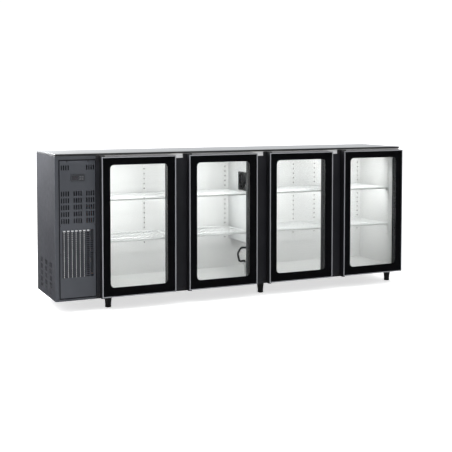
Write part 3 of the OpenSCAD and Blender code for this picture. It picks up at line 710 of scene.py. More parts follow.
def smooth(obj: bpy.types.Object, angle: float = 40.0) -> bpy.types.Object:
    """Smooth shading except across sharper edges.

    Args:
        obj: The object.
        angle: The sharpest angle, in degrees, that is smoothed.

    Returns:
        The object.
    """
    only(obj)
    bpy.ops.object.shade_smooth_by_angle(angle=math.radians(angle))
    return obj


def repeat(obj: bpy.types.Object, count: int, step: Sequence[float]) -> bpy.types.Object:
    """Copies an object's mesh in a row.

    Args:
        obj: The object.
        count: How many there are in the end.
        step: The move from one to the next.

    Returns:
        The object.
    """
    if count > 1:
        modify(obj, "ARRAY", count=count, use_relative_offset=False, use_constant_offset=True,
               constant_offset_displace=Vector(step))
    return obj


def copy_of(obj: bpy.types.Object, name: str, move: Matrix) -> bpy.types.Object:
    """A copy of an object with its own, moved mesh.

    Args:
        obj: The object.
        name: The copy's name.
        move: The move of its mesh.

    Returns:
        The copy.
    """
    made = bpy.data.objects.new(name, obj.data.copy())
    bpy.context.scene.collection.objects.link(made)
    made.data.transform(move)
    return made


def shifted(obj: bpy.types.Object, name: str, x: float = 0.0, y: float = 0.0, z: float = 0.0) -> bpy.types.Object:
    """A copy of an object, moved along the axes."""
    return copy_of(obj, name, Matrix.Translation((x, y, z)))


def joined(name: str, parts: Sequence[bpy.types.Object]) -> bpy.types.Object:
    """Joins objects into one.

    Args:
        name: Its name.
        parts: The objects, of which the first stays.

    Returns:
        The one object.
    """
    only(*parts)
    if len(parts) > 1:
        bpy.ops.object.join()
    parts[0].name = name
    return parts[0]


def cut(obj: bpy.types.Object, *cutters: bpy.types.Object) -> bpy.types.Object:
    """Takes the cutters' shapes out of an object and removes them.

    Args:
        obj: The object.
        cutters: The shapes that are taken out.

    Returns:
        The object.
    """
    for cutter in cutters:
        modify(obj, "BOOLEAN", operation="DIFFERENCE", solver="EXACT", object=cutter)
        bpy.data.objects.remove(cutter)
    return obj


def round_edges(obj: bpy.types.Object, along: Axis, radius: float, segments: int = 6,
                where: Callable[[Vector], bool] = lambda middle: True) -> bpy.types.Object:
    """Rounds the edges that run along an axis.

    Args:
        obj: The object.
        along: The edges' direction.
        radius: The radius of the rounding.
        segments: Its steps.
        where: Says by an edge's middle whether it is rounded.

    Returns:
        The object.
    """
    def chosen(edge: bmesh.types.BMEdge) -> bool:
        """Whether the edge runs along the axis and is wanted.

        Args:
            edge: The edge.

        Returns:
            Whether it is rounded.
        """
        first, second = (v.co for v in edge.verts)
        run = (second - first).normalized()
        return abs(run[along.value]) > 0.999 and where((first + second) / 2)

    with editing(obj, "EDGE"):
        if pick(obj, "edges", chosen):
            bpy.ops.mesh.bevel(offset=radius, segments=segments, affect="EDGES", clamp_overlap=True)
    return obj


def mitred_bars(name: str, low: Vector, high: Vector, width: float, soft: float,
                grip: bpy.types.Object | None = None) -> bpy.types.Object:
    """A rectangular frame in the XZ plane made of four bars that meet in mitres.

    Args:
        name: The frame's name.
        low: Its lowest corner.
        high: Its highest corner.
        width: The bars' width.
        soft: How far their edges are rounded, which also draws the mitres.
        grip: A cutter for the right-hand bar.

    Returns:
        The frame.
    """
    bars = []
    for run, side in ((0, 0), (0, 1), (2, 0), (2, 1)):
        across = 2 - run
        first, last = low.copy(), high.copy()
        if side:
            first[across] = high[across] - width
        else:
            last[across] = low[across] + width
        bar = block(f"{name}_bar", first, last)
        inner = first[across] if side else last[across]
        middle = (low[run] + high[run]) / 2
        for end in (-1, 1):
            with editing(bar, "VERT"):
                pick(bar, "verts", lambda v: abs(v.co[across] - inner) < 1e-6 and (v.co[run] - middle) * end > 0)
                move = [0.0, 0.0, 0.0]
                move[run] = -end * width
                bpy.ops.transform.translate(value=move)
        soften(bar, soft, 1, 20)
        if grip is not None and run and side:
            cut(bar, grip)
        bars.append(bar)
    return joined(name, bars)


def tube(name: str, points: Sequence[Sequence[float]], radius: float, bend: float = 0.0,
         closed: bool = False, sides: int = 2) -> bpy.types.Object:
    """A round tube or wire along points, its corners bent to a radius.

    Args:
        name: The tube's name.
        points: The corners of its route.
        radius: Its radius.
        bend: The length that each bend takes from the runs beside it.
        closed: Whether it runs back into itself.
        sides: The curve's bevel resolution.

    Returns:
        The tube as a mesh.
    """
    route = [Vector(p) for p in points]
    path = []
    for i, corner in enumerate(route):
        if bend == 0 or (not closed and i in (0, len(route) - 1)):
            path.append(corner)
            continue
        before, after = route[i - 1], route[(i + 1) % len(route)]
        start = corner + (before - corner).normalized() * bend
        end = corner + (after - corner).normalized() * bend
        for step in range(5):
            t = step / 4
            path.append(start * (1 - t) ** 2 + corner * 2 * t * (1 - t) + end * t ** 2)
    curve = bpy.data.curves.new(name, "CURVE")
    curve.dimensions = "3D"
    curve.bevel_depth = radius
    curve.bevel_resolution = sides
    curve.use_fill_caps = not closed
    spline = curve.splines.new("POLY")
    spline.points.add(len(path) - 1)
    for point, place in zip(spline.points, path):
        point.co = (*place, 1.0)
    spline.use_cyclic_u = closed
    obj = bpy.data.objects.new(name, curve)
    bpy.context.scene.collection.objects.link(obj)
    only(obj)
    bpy.ops.object.convert(target="MESH")
    return smooth(bpy.context.object, 50)


def turned(name: str, profile: Sequence[tuple[float, float]], sides: int = 40) -> bpy.types.Object:
    """A turned shape on the Z axis, closed at both ends.

    Args:
        name: Its name.
        profile: Radius and height of each step, from the foot up.
        sides: The steps round it.

    Returns:
        The shape, standing at the origin.
    """
    bpy.ops.object.select_all(action="DESELECT")
    radius, height = profile[0]
    bpy.ops.mesh.primitive_circle_add(vertices=sides, radius=radius, location=(0, 0, height), fill_type="NGON")
    obj = bpy.context.object
    obj.name = name
    bpy.ops.object.transform_apply(location=True, rotation=True, scale=True)
    with editing(obj, "FACE"):
        bpy.ops.mesh.select_all(action="SELECT")
        bpy.ops.mesh.flip_normals()
        bpy.ops.mesh.select_mode(type="EDGE")
        for wider, higher in profile[1:]:
            bpy.ops.mesh.extrude_edges_move(TRANSFORM_OT_translate={"value": (0, 0, higher - height)})
            share = wider / radius
            bpy.ops.transform.resize(value=(share, share, 1), center_override=(0, 0, higher))
            radius, height = wider, higher
        bpy.ops.mesh.edge_face_add()
        bpy.ops.mesh.select_all(action="SELECT")
        bpy.ops.mesh.normals_make_consistent(inside=False)
    return smooth(obj)


def stood(obj: bpy.types.Object, place: Sequence[float], along: Sequence[float] = (0, 0, 1)) -> bpy.types.Object:
    """Moves a turned shape to a place and turns its axis along a direction, in its mesh.

    Args:
        obj: The object.
        place: Where its origin goes.
        along: The direction that its axis takes.

    Returns:
        The object.
    """
    turn = Vector(along).to_track_quat("Z", "Y").to_matrix().to_4x4()
    obj.data.transform(Matrix.Translation(Vector(place)) @ turn)
    return obj


@dataclass
class Assembly:
    """A group of pieces that ride on one body."""

    body: str = "cabinet"

    def deliver(self, obj: bpy.types.Object, finish: object, slot: str, *nodes: str) -> bpy.types.Object:
        """Dresses a new piece and puts it on its body.

        Args:
            obj: The piece.
            finish: Its finish.
            slot: The record's material slot; not used.
            nodes: The CAD nodes that it stands for.

        Returns:
            The piece.
        """
        if not obj.data.materials:
            obj.data.materials.append(dressed(finish))
        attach(obj, self.body)
        if nodes:
            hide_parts(*nodes)
        LOG.info("%s on %s: %d faces", obj.name, self.body, len(obj.data.polygons))
        return obj

    def dress(self, finish: object, *nodes: str) -> None:
        """Gives carried-over CAD nodes a finish.

        Args:
            finish: The finish.
            nodes: The nodes' names.
        """
        for name in nodes:
            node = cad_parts[name]
            node.data.materials.clear()
            node.data.materials.append(dressed(finish))
            LOG.info("%s dressed in %s", name, finish.name)


# ---- Cabinet ---------------------------------------------------------------------------------


@dataclass
class Cabinet(Assembly):
    """The outside of the cabinet: worktop, rails, panels, hinges and legs."""

    worktop_soft: float = 1.6 * MM
    hem: float = 2.2 * MM

    def build(self) -> None:
        """Builds the pieces in order."""
        self.worktop()
        self.header()
        self.side_panel()
        self.hinges()
        self.legs()
        self.dress(FRAME_PAINT, "front_frame", "mullions", "base_panel", "back_panel")
        self.dress(SIDE_PAINT, "right_side_panel")
        self.dress(FOAM, "insulation")
        self.dress(PIN, "hinge_pins")

    def worktop(self) -> None:
        """A folded sheet tray with rounded edges and a hem along its lower edge."""
        low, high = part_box("worktop")
        top = block("worktop_sheet", low, high)
        with editing(top):
            pick(top, "faces", lambda f: f.normal.z < -0.9)
            bpy.ops.mesh.inset(thickness=self.hem)
            bpy.ops.mesh.extrude_region_move(TRANSFORM_OT_translate={"value": (0, 0, high.z - low.z - self.hem)})
        soften(top, self.worktop_soft, 3)
        self.deliver(top, STAINLESS, "stainless", "worktop")

    def header(self) -> None:
        """The bright rail behind the door tops, with a shallow groove along its face."""
        low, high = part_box("header_rail")
        rail = block("header_bar", low, high)
        with editing(rail):
            pick(rail, "faces", lambda f: f.normal.y < -0.9)
            bpy.ops.mesh.inset(thickness=4 * MM)
            bpy.ops.mesh.extrude_region_move(TRANSFORM_OT_translate={"value": (0, 0.8 * MM, 0)})
        soften(rail, 0.5 * MM, 2)
        self.deliver(rail, HEADER, "header_aluminium", "header_rail")

    def side_panel(self) -> None:
        """The louvred panel beside the motor bay, with round-ended slots and a folded front edge."""
        low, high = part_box("motor_side_panel")
        panel = block("motor_side_sheet", low, high)
        slots = SlotField(Axis.X, low.x - 2 * MM, high.x + 2 * MM)
        rows = slots.rows_low(low.z + 25 * MM)
        step = (high.y - low.y + 7.2 * MM) / 4
        front = high.y - (high.y - low.y + 7.2 * MM) + 1.2 * MM
        cutters = [slots.group(front + step * (g + 1), z) for g in range(3) for z in rows]
        cut(panel, joined("side_slots", cutters))
        soften(panel, 0.25 * MM, 1)
        fold = block("fold", (low.x + 0.6 * MM, low.y, low.z), (low.x + 12 * MM, low.y + 1.2 * MM, high.z))
        soften(fold, 0.5 * MM, 2)
        self.deliver(joined("motor_side_sheet", [panel, fold]), SIDE_PAINT, "case_paint", "motor_side_panel")

    def hinges(self) -> None:
        """Hinge plates with rounded tongues, countersunk screws in their flanges."""
        plates = []
        for number in range(1, 5):
            door_low, door_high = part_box(f"door_{number}_frame")
            pins_low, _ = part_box("hinge_pins")
            for top in (False, True):
                plates.append(self.hinge_plate(door_low, door_high, pins_low.y, top))
        self.deliver(joined("hinge_plate_set", plates), HINGE_PAINT, "hinge_steel", "hinge_plates")

    def hinge_plate(self, door_low: Vector, door_high: Vector, pin_front: float, top: bool) -> bpy.types.Object:
        """One hinge plate above or below a door.

        Args:
            door_low: The door's lowest corner.
            door_high: The door's highest corner.
            pin_front: The front of the hinge pins.
            top: Whether it sits above the door.

        Returns:
            The plate.
        """
        front_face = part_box("front_frame")[0].y
        axis_x, axis_y = door_low.x + 12 * MM, pin_front + 4 * MM
        z = door_high.z + 1.5 * MM if top else door_low.z - 6.5 * MM
        tongue = block("tongue", (axis_x - 12 * MM, axis_y - 12 * MM, z), (axis_x + 12 * MM, front_face, z + 5 * MM))
        round_edges(tongue, Axis.Z, 11.5 * MM, 8, lambda m: m.y < axis_y)
        soften(tongue, 0.8 * MM, 2)
        foot, head = (z - 24 * MM, z + 5 * MM) if top else (z, z + 24 * MM)
        flange = block("flange", (door_low.x - 18 * MM, front_face - 3 * MM, foot),
                       (door_low.x + 16 * MM, front_face, head))
        round_edges(flange, Axis.Y, 3 * MM, 4)
        soften(flange, 0.5 * MM, 2)
        screws = []
        for side in (-10, 4):
            head = turned("hinge_screw", [(0.1 * MM, 0), (3.6 * MM, 0), (3.6 * MM, 0.5 * MM), (2.6 * MM, 1.3 * MM),
                                          (1.4 * MM, 1.5 * MM), (1.3 * MM, 0.7 * MM)], 20)
            height = z - 9 * MM if top else z + 15 * MM
            screws.append(stood(head, (door_low.x + side * MM, front_face - 3 * MM, height), (0, -1, 0)))
        return joined("hinge_plate", [tongue, flange, *screws])

    def legs(self) -> None:
        """Adjustable legs: ribbed tapered body, locking ring and rounded foot."""
        low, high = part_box("legs")
        height = high.z - low.z
        outer = 26 * MM
        profile = [
            (6 * MM, 0.0), (14.5 * MM, 0.0), (16.6 * MM, 1.6 * MM), (17.2 * MM, 4 * MM), (17.2 * MM, 9.5 * MM),
            (15.4 * MM, 11 * MM), (15.2 * MM, 13 * MM), (19.3 * MM, height - 12 * MM), (20 * MM, height - 9 * MM),
            (20 * MM, height - 4.4 * MM), (24.8 * MM, height - 4 * MM), (outer, height - 3.2 * MM), (outer, height),
        ]
        leg = turned("leg_turned", profile, 72)
        with editing(leg):
            pick(leg, "faces", lambda f: abs(f.normal.z) < 0.3
                 and 12 * MM < f.calc_center_median().z < height - 12 * MM
                 and round(math.atan2(f.calc_center_median().y, f.calc_center_median().x) * 36 / math.pi) % 4 < 2)
            bpy.ops.mesh.inset(thickness=0.35 * MM, depth=0.7 * MM)
        smooth(leg, 30)
        middles = [(a + b) / 2 for a, b in island_boxes(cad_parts["legs"])]
        copies = [shifted(leg, "leg", m.x, m.y, low.z) for m in middles]
        bpy.data.objects.remove(leg)
        self.deliver(joined("leg_set", copies), LEG, "leg_plastic", "legs")


@dataclass
class SlotField:
    """Groups of four upright round-ended vent slots through a sheet."""

    across: Axis
    near: float
    far: float
    width: float = 6.5 * MM
    height: float = 27 * MM
    pitch: float = 12.5 * MM
    count: int = 4
    row_pitch: float = 36.5 * MM

    def rows_low(self, foot: float, count: int = 5) -> list[float]:
        """The heights of rows from the lowest one's foot up."""
        return [foot + i * self.row_pitch for i in range(count)]

    def group(self, middle: float, foot: float) -> bpy.types.Object:
        """A cutter for one group.

        Args:
            middle: The group's middle along the sheet.
            foot: The height of its lower end.

        Returns:
            The cutter.
        """
        start = middle - ((self.count - 1) * self.pitch + self.width) / 2
        if self.across is Axis.X:
            slot = block("slot", (self.near, start, foot), (self.far, start + self.width, foot + self.height))
            step = (0, self.pitch, 0)
        else:
            slot = block("slot", (start, self.near, foot), (start + self.width, self.far, foot + self.height))
            step = (self.pitch, 0, 0)
        round_edges(slot, self.across, self.width * 0.42, 4)
        return repeat(slot, self.count, step)


# ---- Doors -----------------------------------------------------------------------------------


@dataclass
class GlassDoor(Assembly):
    """One hinged door: edge trim, profile, two panes, black print, spacer and gasket."""

    number: int = 1
    edge: float = 5.5 * MM
    rail: float = 29 * MM
    pane: float = 4 * MM
    side_print: float = 48 * MM
    head_print: float = 44 * MM
    foot_print: float = 52 * MM
    window_corner: float = 22 * MM

    def build(self) -> None:
        """Builds the pieces of the door."""
        self.body = f"door_{self.number}"
        self.low, self.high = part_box(f"{self.body}_frame")
        self.front_frame()
        self.glazing()
        self.gasket()
        self.dress(SPACER, f"{self.body}_spacer")

    def front_frame(self) -> None:
        """The bright-faced edge, the dark profile behind the glass and the finger grip in its side."""
        low, high = self.low, self.high
        grip = block("grip", (high.x - 3.5 * MM, low.y + 16 * MM, low.z * 0.75 + high.z * 0.25),
                     (high.x + 2 * MM, low.y + 34 * MM, low.z * 0.25 + high.z * 0.75))
        round_edges(grip, Axis.X, 6 * MM, 5)
        edge = mitred_bars("edge", low, high, self.edge, 0.45 * MM, grip)
        edge.data.materials.append(dressed(PROFILE))
        edge.data.materials.append(dressed(TRIM))
        for face in edge.data.polygons:
            face.material_index = int(face.normal.y < -0.6)
        glass_low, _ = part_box(f"{self.body}_glazing")
        inset = Vector((self.edge, 0, self.edge))
        back = glass_low.y + self.pane
        channel_low = Vector((low.x, back, low.z)) + inset
        channel_high = high - inset
        rails = mitred_bars("rails", channel_low, channel_high, self.rail - self.edge - 2 * MM, 0.6 * MM)
        lip_low = Vector((low.x, high.y - 19.5 * MM, low.z)) + Vector((self.rail - 2 * MM, 0, self.rail - 2 * MM))
        lip_high = Vector((high.x, high.y, high.z)) - Vector((self.rail - 2 * MM, 0, self.rail - 2 * MM))
        beads = mitred_bars("beads", lip_low, lip_high, 9 * MM, 1.2 * MM)
        for part in (rails, beads):
            part.data.materials.append(dressed(PROFILE))
        whole = joined(f"{self.body}_profile", [edge, rails, beads])
        self.deliver(whole, PROFILE, "door_profile", f"{self.body}_frame")

    def glazing(self) -> None:
        """The two panes with ground edges, and the black print on the inside of the front one."""
        low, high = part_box(f"{self.body}_glazing")
        front = block(f"{self.body}_front_pane", low, (high.x, low.y + self.pane, high.z))
        soften(front, 0.6 * MM, 1)
        inner = Vector((self.rail - self.edge, 0, self.rail - self.edge))
        rear = block(f"{self.body}_rear_pane", Vector((low.x, high.y - self.pane, low.z)) + inner, high - inner)
        soften(rear, 0.6 * MM, 1)
        self.deliver(front, GLASS, "glass", f"{self.body}_glazing")
        self.deliver(rear, GLASS, "glass")
        depth = low.y + self.pane
        ink = block(f"{self.body}_black_print", (low.x + 0.8 * MM, depth - 0.5 * MM, low.z + 0.8 * MM),
                    (high.x - 0.8 * MM, depth - 0.2 * MM, high.z - 0.8 * MM))
        window = block("window", (self.low.x + self.side_print, depth - 3 * MM, self.low.z + self.foot_print),
                       (self.high.x - self.side_print, depth + 3 * MM, self.high.z - self.head_print))
        round_edges(window, Axis.Y, self.window_corner, 12)
        cut(ink, window)
        self.deliver(ink, BLACK_PRINT_AND_GAP_SHADE, "glass")

    def gasket(self) -> None:
        """A foot, two bellows folds and the magnet strip, mitred at the corners."""
        low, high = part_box(f"{self.body}_gasket")
        width, depth = 12 * MM, high.y - low.y
        layers = [(0.0, 1.0, 0.0, 0.3), (0.16, 0.84, 0.3, 0.42), (0.05, 0.95, 0.42, 0.56), (0.16, 0.84, 0.56, 0.7),
                  (0.06, 0.94, 0.7, 1.0)]
        rings = []
        for outer, inner, near, far in layers:
            inset = Vector((width * outer, 0, width * outer))
            first = Vector((low.x, low.y + depth * near, low.z)) + inset
            last = Vector((high.x, low.y + depth * far, high.z)) - inset
            rings.append(mitred_bars("fold", first, last, width * (inner - outer), 0.4 * MM))
        self.deliver(joined(f"{self.body}_seal", rings), GASKET, "gasket_rubber", f"{self.body}_gasket")


# ---- Cold room -------------------------------------------------------------------------------


@dataclass
class ColdRoom(Assembly):
    """The lined inside: sheet lining, rails, shelves, clips, lights, drain."""

    cove: float = 9 * MM
    wire_pitch: float = 24 * MM
    wire: float = 1.75 * MM
    rim: float = 3.5 * MM

    def build(self) -> None:
        """Builds the pieces."""
        self.lining()
        for name, slot_node in (("upper", "upper_shelves"), ("lower", "lower_shelves")):
            self.shelves(name, slot_node)
        self.clips()
        self.lights()
        self.rail_shade_strips()
        self.drain()
        self.dress(RAIL, "shelf_rails")
        self.dress(TRAY, "drain_tray")

    def lining(self) -> None:
        """The folded lining with coved corners, open to the front."""
        low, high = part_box("inner_liner")
        lining = block("lining", low, high)
        with editing(lining):
            pick(lining, "faces", lambda f: f.normal.y < -0.9)
            bpy.ops.mesh.delete(type="FACE")
        round_edges(lining, Axis.X, self.cove, 4, lambda m: m.y > (low.y + high.y) / 2)
        round_edges(lining, Axis.Y, self.cove, 4)
        round_edges(lining, Axis.Z, self.cove, 4, lambda m: m.y > (low.y + high.y) / 2)
        modify(lining, "SOLIDIFY", thickness=1 * MM, offset=-1)
        smooth(lining, 40)
        self.deliver(lining, ROOM, "liner", "inner_liner")

    def shelves(self, level: str, node: str) -> None:
        """Four wire shelves: a bent rim wire, two cross wires and a bed of thin wires.

        Args:
            level: Upper or lower.
            node: The CAD node.
        """
        shelf_low, shelf_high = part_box(node)
        for number, (left, right) in enumerate(islands(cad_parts[node]), 1):
            low = Vector((left, shelf_low.y, shelf_low.z))
            high = Vector((right, shelf_high.y, shelf_high.z))
            shelf = self.wire_shelf(f"{level}_shelf_{number}", low, high)
            self.deliver(shelf, WIRE, "shelf_wire", node)

    def wire_shelf(self, name: str, low: Vector, high: Vector) -> bpy.types.Object:
        """One shelf between two corners.

        Args:
            name: The shelf's name.
            low: Its lowest corner.
            high: Its highest corner.

        Returns:
            The shelf.
        """
        rim_z = low.z + self.rim
        inside = Vector((self.rim, self.rim, 0))
        a, b = low + inside, high - inside
        corners = [(a.x, a.y, rim_z), (b.x, a.y, rim_z), (b.x, b.y, rim_z), (a.x, b.y, rim_z)]
        parts = [tube("rim", corners, self.rim, 12 * MM, True, 3)]
        depth = b.y - a.y
        for share in (1 / 3, 2 / 3):
            y = a.y + depth * share
            parts.append(tube("cross", [(a.x, y, rim_z), (b.x, y, rim_z)], self.rim * 0.8, sides=2))
        bed_z = high.z - self.wire
        count = math.floor((b.x - a.x) / self.wire_pitch)
        pitch = (b.x - a.x) / count
        droop = 6 * MM
        front = low.y + self.wire
        bed = tube("bed", [(a.x + pitch, front, bed_z - droop), (a.x + pitch, front, bed_z),
                           (a.x + pitch, high.y - self.wire, bed_z)], self.wire, 3 * MM, sides=1)
        parts.append(repeat(bed, count - 1, (pitch, 0, 0)))
        return smooth(joined(name, parts), 50)

    def clips(self) -> None:
        """Moulded shelf clips: a hooked body and a ledge, at the place of each CAD clip."""
        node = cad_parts["shelf_clips"]
        made = []
        for low, high in island_boxes(node):
            clip = block("clip", low, high)
            with editing(clip):
                pick(clip, "faces", lambda f: f.normal.z > 0.9)
                bpy.ops.mesh.inset(thickness=2.2 * MM, depth=0)
                bpy.ops.mesh.extrude_region_move(TRANSFORM_OT_translate={"value": (0, 0, -1.6 * MM)})
            made.append(soften(clip, 0.9 * MM, 2))
        self.deliver(joined("shelf_clip_set", made), CLIP, "clip_plastic", "shelf_clips")

    def lights(self) -> None:
        """Light strips: a domed diffuser between two end caps."""
        for number, (low, high) in enumerate(island_boxes(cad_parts["light_strips"]), 1):
            strip = block(f"light_strip_{number}", low, high)
            round_edges(strip, Axis.X, 5 * MM, 5, lambda m: m.z < (low.z + high.z) / 2)
            with editing(strip):
                pick(strip, "faces", lambda f: abs(f.normal.x) > 0.9)
                bpy.ops.mesh.inset(thickness=1.2 * MM)
            smooth(strip, 40)
            self.deliver(strip, DIFFUSER, "led_diffuser", "light_strips")

    def rail_shade_strips(self) -> None:
        """Painted shade: dark strips behind the holes of the rails on the back and end walls, standing in for the
        shaded insides of the rail channels.
        """
        made = []
        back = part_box("shelf_rails")[1].y
        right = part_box("shelf_rails")[1].x
        skin, edge = 0.3 * MM, 4 * MM
        for low, high in island_boxes(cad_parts["shelf_rails"]):
            if high.y > back - 1 * MM:
                ends = ((low.x + edge, high.y - skin, low.z + edge),
                        (high.x - edge, high.y - 0.02 * MM, high.z - edge))
            elif high.x > right - 1 * MM:
                ends = ((high.x - skin, low.y + edge, low.z + edge),
                        (high.x - 0.02 * MM, high.y - edge, high.z - edge))
            else:
                continue
            # A thin dark strip just behind the rail's front, painted shade seen through its holes.
            made.append(soften(block("rail_shade_strip", *ends), 0.08 * MM, 1))
        self.deliver(joined("rail_hole_painted_shades", made), SHADE, "rail_steel")

    def drain(self) -> None:
        """The looped drain hose and the white standing pipe that it ends in."""
        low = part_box("drain_hose")[0]
        cover_low, cover_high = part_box("evaporator_cover")
        spout_y = cover_low.y + 60 * MM
        top = cover_low.z
        middle = (cover_low.x + cover_high.x) / 2
        pipe_x = cover_low.x - 4 * MM
        floor = low.z
        route = [
            (middle, spout_y, top - 20 * MM), (middle, spout_y, top - 45 * MM),
            (cover_low.x + 10 * MM, spout_y - 5 * MM, top - 30 * MM),
            (cover_low.x - 35 * MM, spout_y - 10 * MM, top - 25 * MM),
            (cover_low.x - 55 * MM, spout_y - 5 * MM, top - 60 * MM),
            (cover_low.x - 40 * MM, spout_y, top - 110 * MM), (pipe_x, spout_y, top - 105 * MM),
            (pipe_x, spout_y, floor + 66.3 * MM),
        ]
        hose = tube("drain_hose_bent", route, 6 * MM, 11 * MM, sides=4)
        self.deliver(hose, HOSE, "hose_rubber", "drain_hose")
        pipe = turned("drain_standpipe", [
            (10 * MM, 0), (11 * MM, 0.6 * MM), (11 * MM, 5 * MM), (9.4 * MM, 6 * MM), (9.4 * MM, 50 * MM),
            (11 * MM, 51 * MM), (11 * MM, 65.4 * MM), (10.4 * MM, 66 * MM), (8 * MM, 66 * MM), (8 * MM, 52 * MM),
        ])
        stood(pipe, (pipe_x, spout_y, floor))
        self.deliver(pipe, DRAIN, "tray_plastic")


def island_boxes(node: bpy.types.Object) -> list[tuple[Vector, Vector]]:
    """The boxes of the separate solids of a node, from left to right.

    Args:
        node: A CAD node, whose mesh is only read.

    Returns:
        The lowest and highest corner of each.
    """
    mesh = bmesh.new()
    mesh.from_mesh(node.data)
    bmesh.ops.remove_doubles(mesh, verts=mesh.verts, dist=1e-6)
    seen: set[int] = set()
    boxes = []
    mesh.verts.index_update()
    mesh.verts.ensure_lookup_table()
    for start in mesh.verts:
        if start.index in seen:
            continue
        stack, found = [start], []
        seen.add(start.index)
        while stack:
            v = stack.pop()
            found.append(v.co)
            for edge in v.link_edges:
                other = edge.other_vert(v)
                if other.index not in seen:
                    seen.add(other.index)
                    stack.append(other)
        low = Vector(min(c[i] for c in found) for i in range(3))
        high = Vector(max(c[i] for c in found) for i in range(3))
        boxes.append((low, high))
    mesh.free()
    return sorted(boxes, key=lambda b: tuple(b[0]))


def islands(node: bpy.types.Object) -> list[tuple[float, float]]:
    """The left and right end of each separate solid of a node."""
    return [(low.x, high.x) for low, high in island_boxes(node)]


# ---- Fans and evaporator ---------------------------------------------------------------------


@dataclass
class FanWheel(Assembly):
    """A moulded fan wheel: a domed hub and twisted, swept blades."""

    node: str = ""
    name: str = ""
    slot_name: str = "fan_plastic"
    axis: Axis = Axis.Y
    outward: int = 1
    blades: int = 5
    hub_share: float = 0.29
    twist: float = 16.0

    def build(self) -> None:
        """Builds the wheel and puts it on its body."""
        low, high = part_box(self.node)
        middle = (low + high) / 2
        depth = (high - low)[self.axis.value]
        radius = max((high - low)) / 2
        hub_radius = radius * self.hub_share
        hub = turned("hub", [
            (hub_radius * 0.8, -depth / 2), (hub_radius, -depth * 0.42), (hub_radius, depth * 0.3),
            (hub_radius * 0.86, depth * 0.44), (hub_radius * 0.4, depth / 2),
        ], 36)
        parts = [hub]
        pitch = 2 * math.pi / self.blades
        for index in range(self.blades):
            blade = self.blade(hub_radius, radius, depth)
            blade.data.transform(Matrix.Rotation(index * pitch, 4, "Z"))
            parts.append(blade)
        wheel = joined(self.name, parts)
        direction = Vector((0, 0, 0))
        direction[self.axis.value] = self.outward
        stood(wheel, middle, direction)
        self.deliver(wheel, FAN, self.slot_name, self.node)

    def blade(self, hub_radius: float, radius: float, depth: float) -> bpy.types.Object:
        """One blade along +X, twisted from its root to its tip, inside the wheel's depth.

        Args:
            hub_radius: The hub's radius.
            radius: The wheel's radius.
            depth: The wheel's depth.

        Returns:
            The blade.
        """
        bpy.ops.object.select_all(action="DESELECT")
        bpy.ops.mesh.primitive_grid_add(x_subdivisions=8, y_subdivisions=6, size=1)
        blade = bpy.context.object
        start = hub_radius * 0.9
        tip = radius * 0.985
        for v in blade.data.vertices:
            out, across = v.co.x + 0.5, v.co.y
            r = start + (tip - start) * out
            chord = radius * (0.62 + 0.3 * out)
            pitch = math.radians(40 - self.twist * out)
            reach = across * chord
            angle = reach * math.cos(pitch) / r + 0.12 * out
            lift = reach * math.sin(pitch) + 0.06 * chord * (1 - 4 * across * across)
            limit = depth / 2 - 1.2 * MM
            v.co = (r * math.cos(angle), r * math.sin(angle), max(-limit, min(limit, lift)))
        modify(blade, "SOLIDIFY", thickness=1.6 * MM, offset=0)
        return smooth(blade, 50)


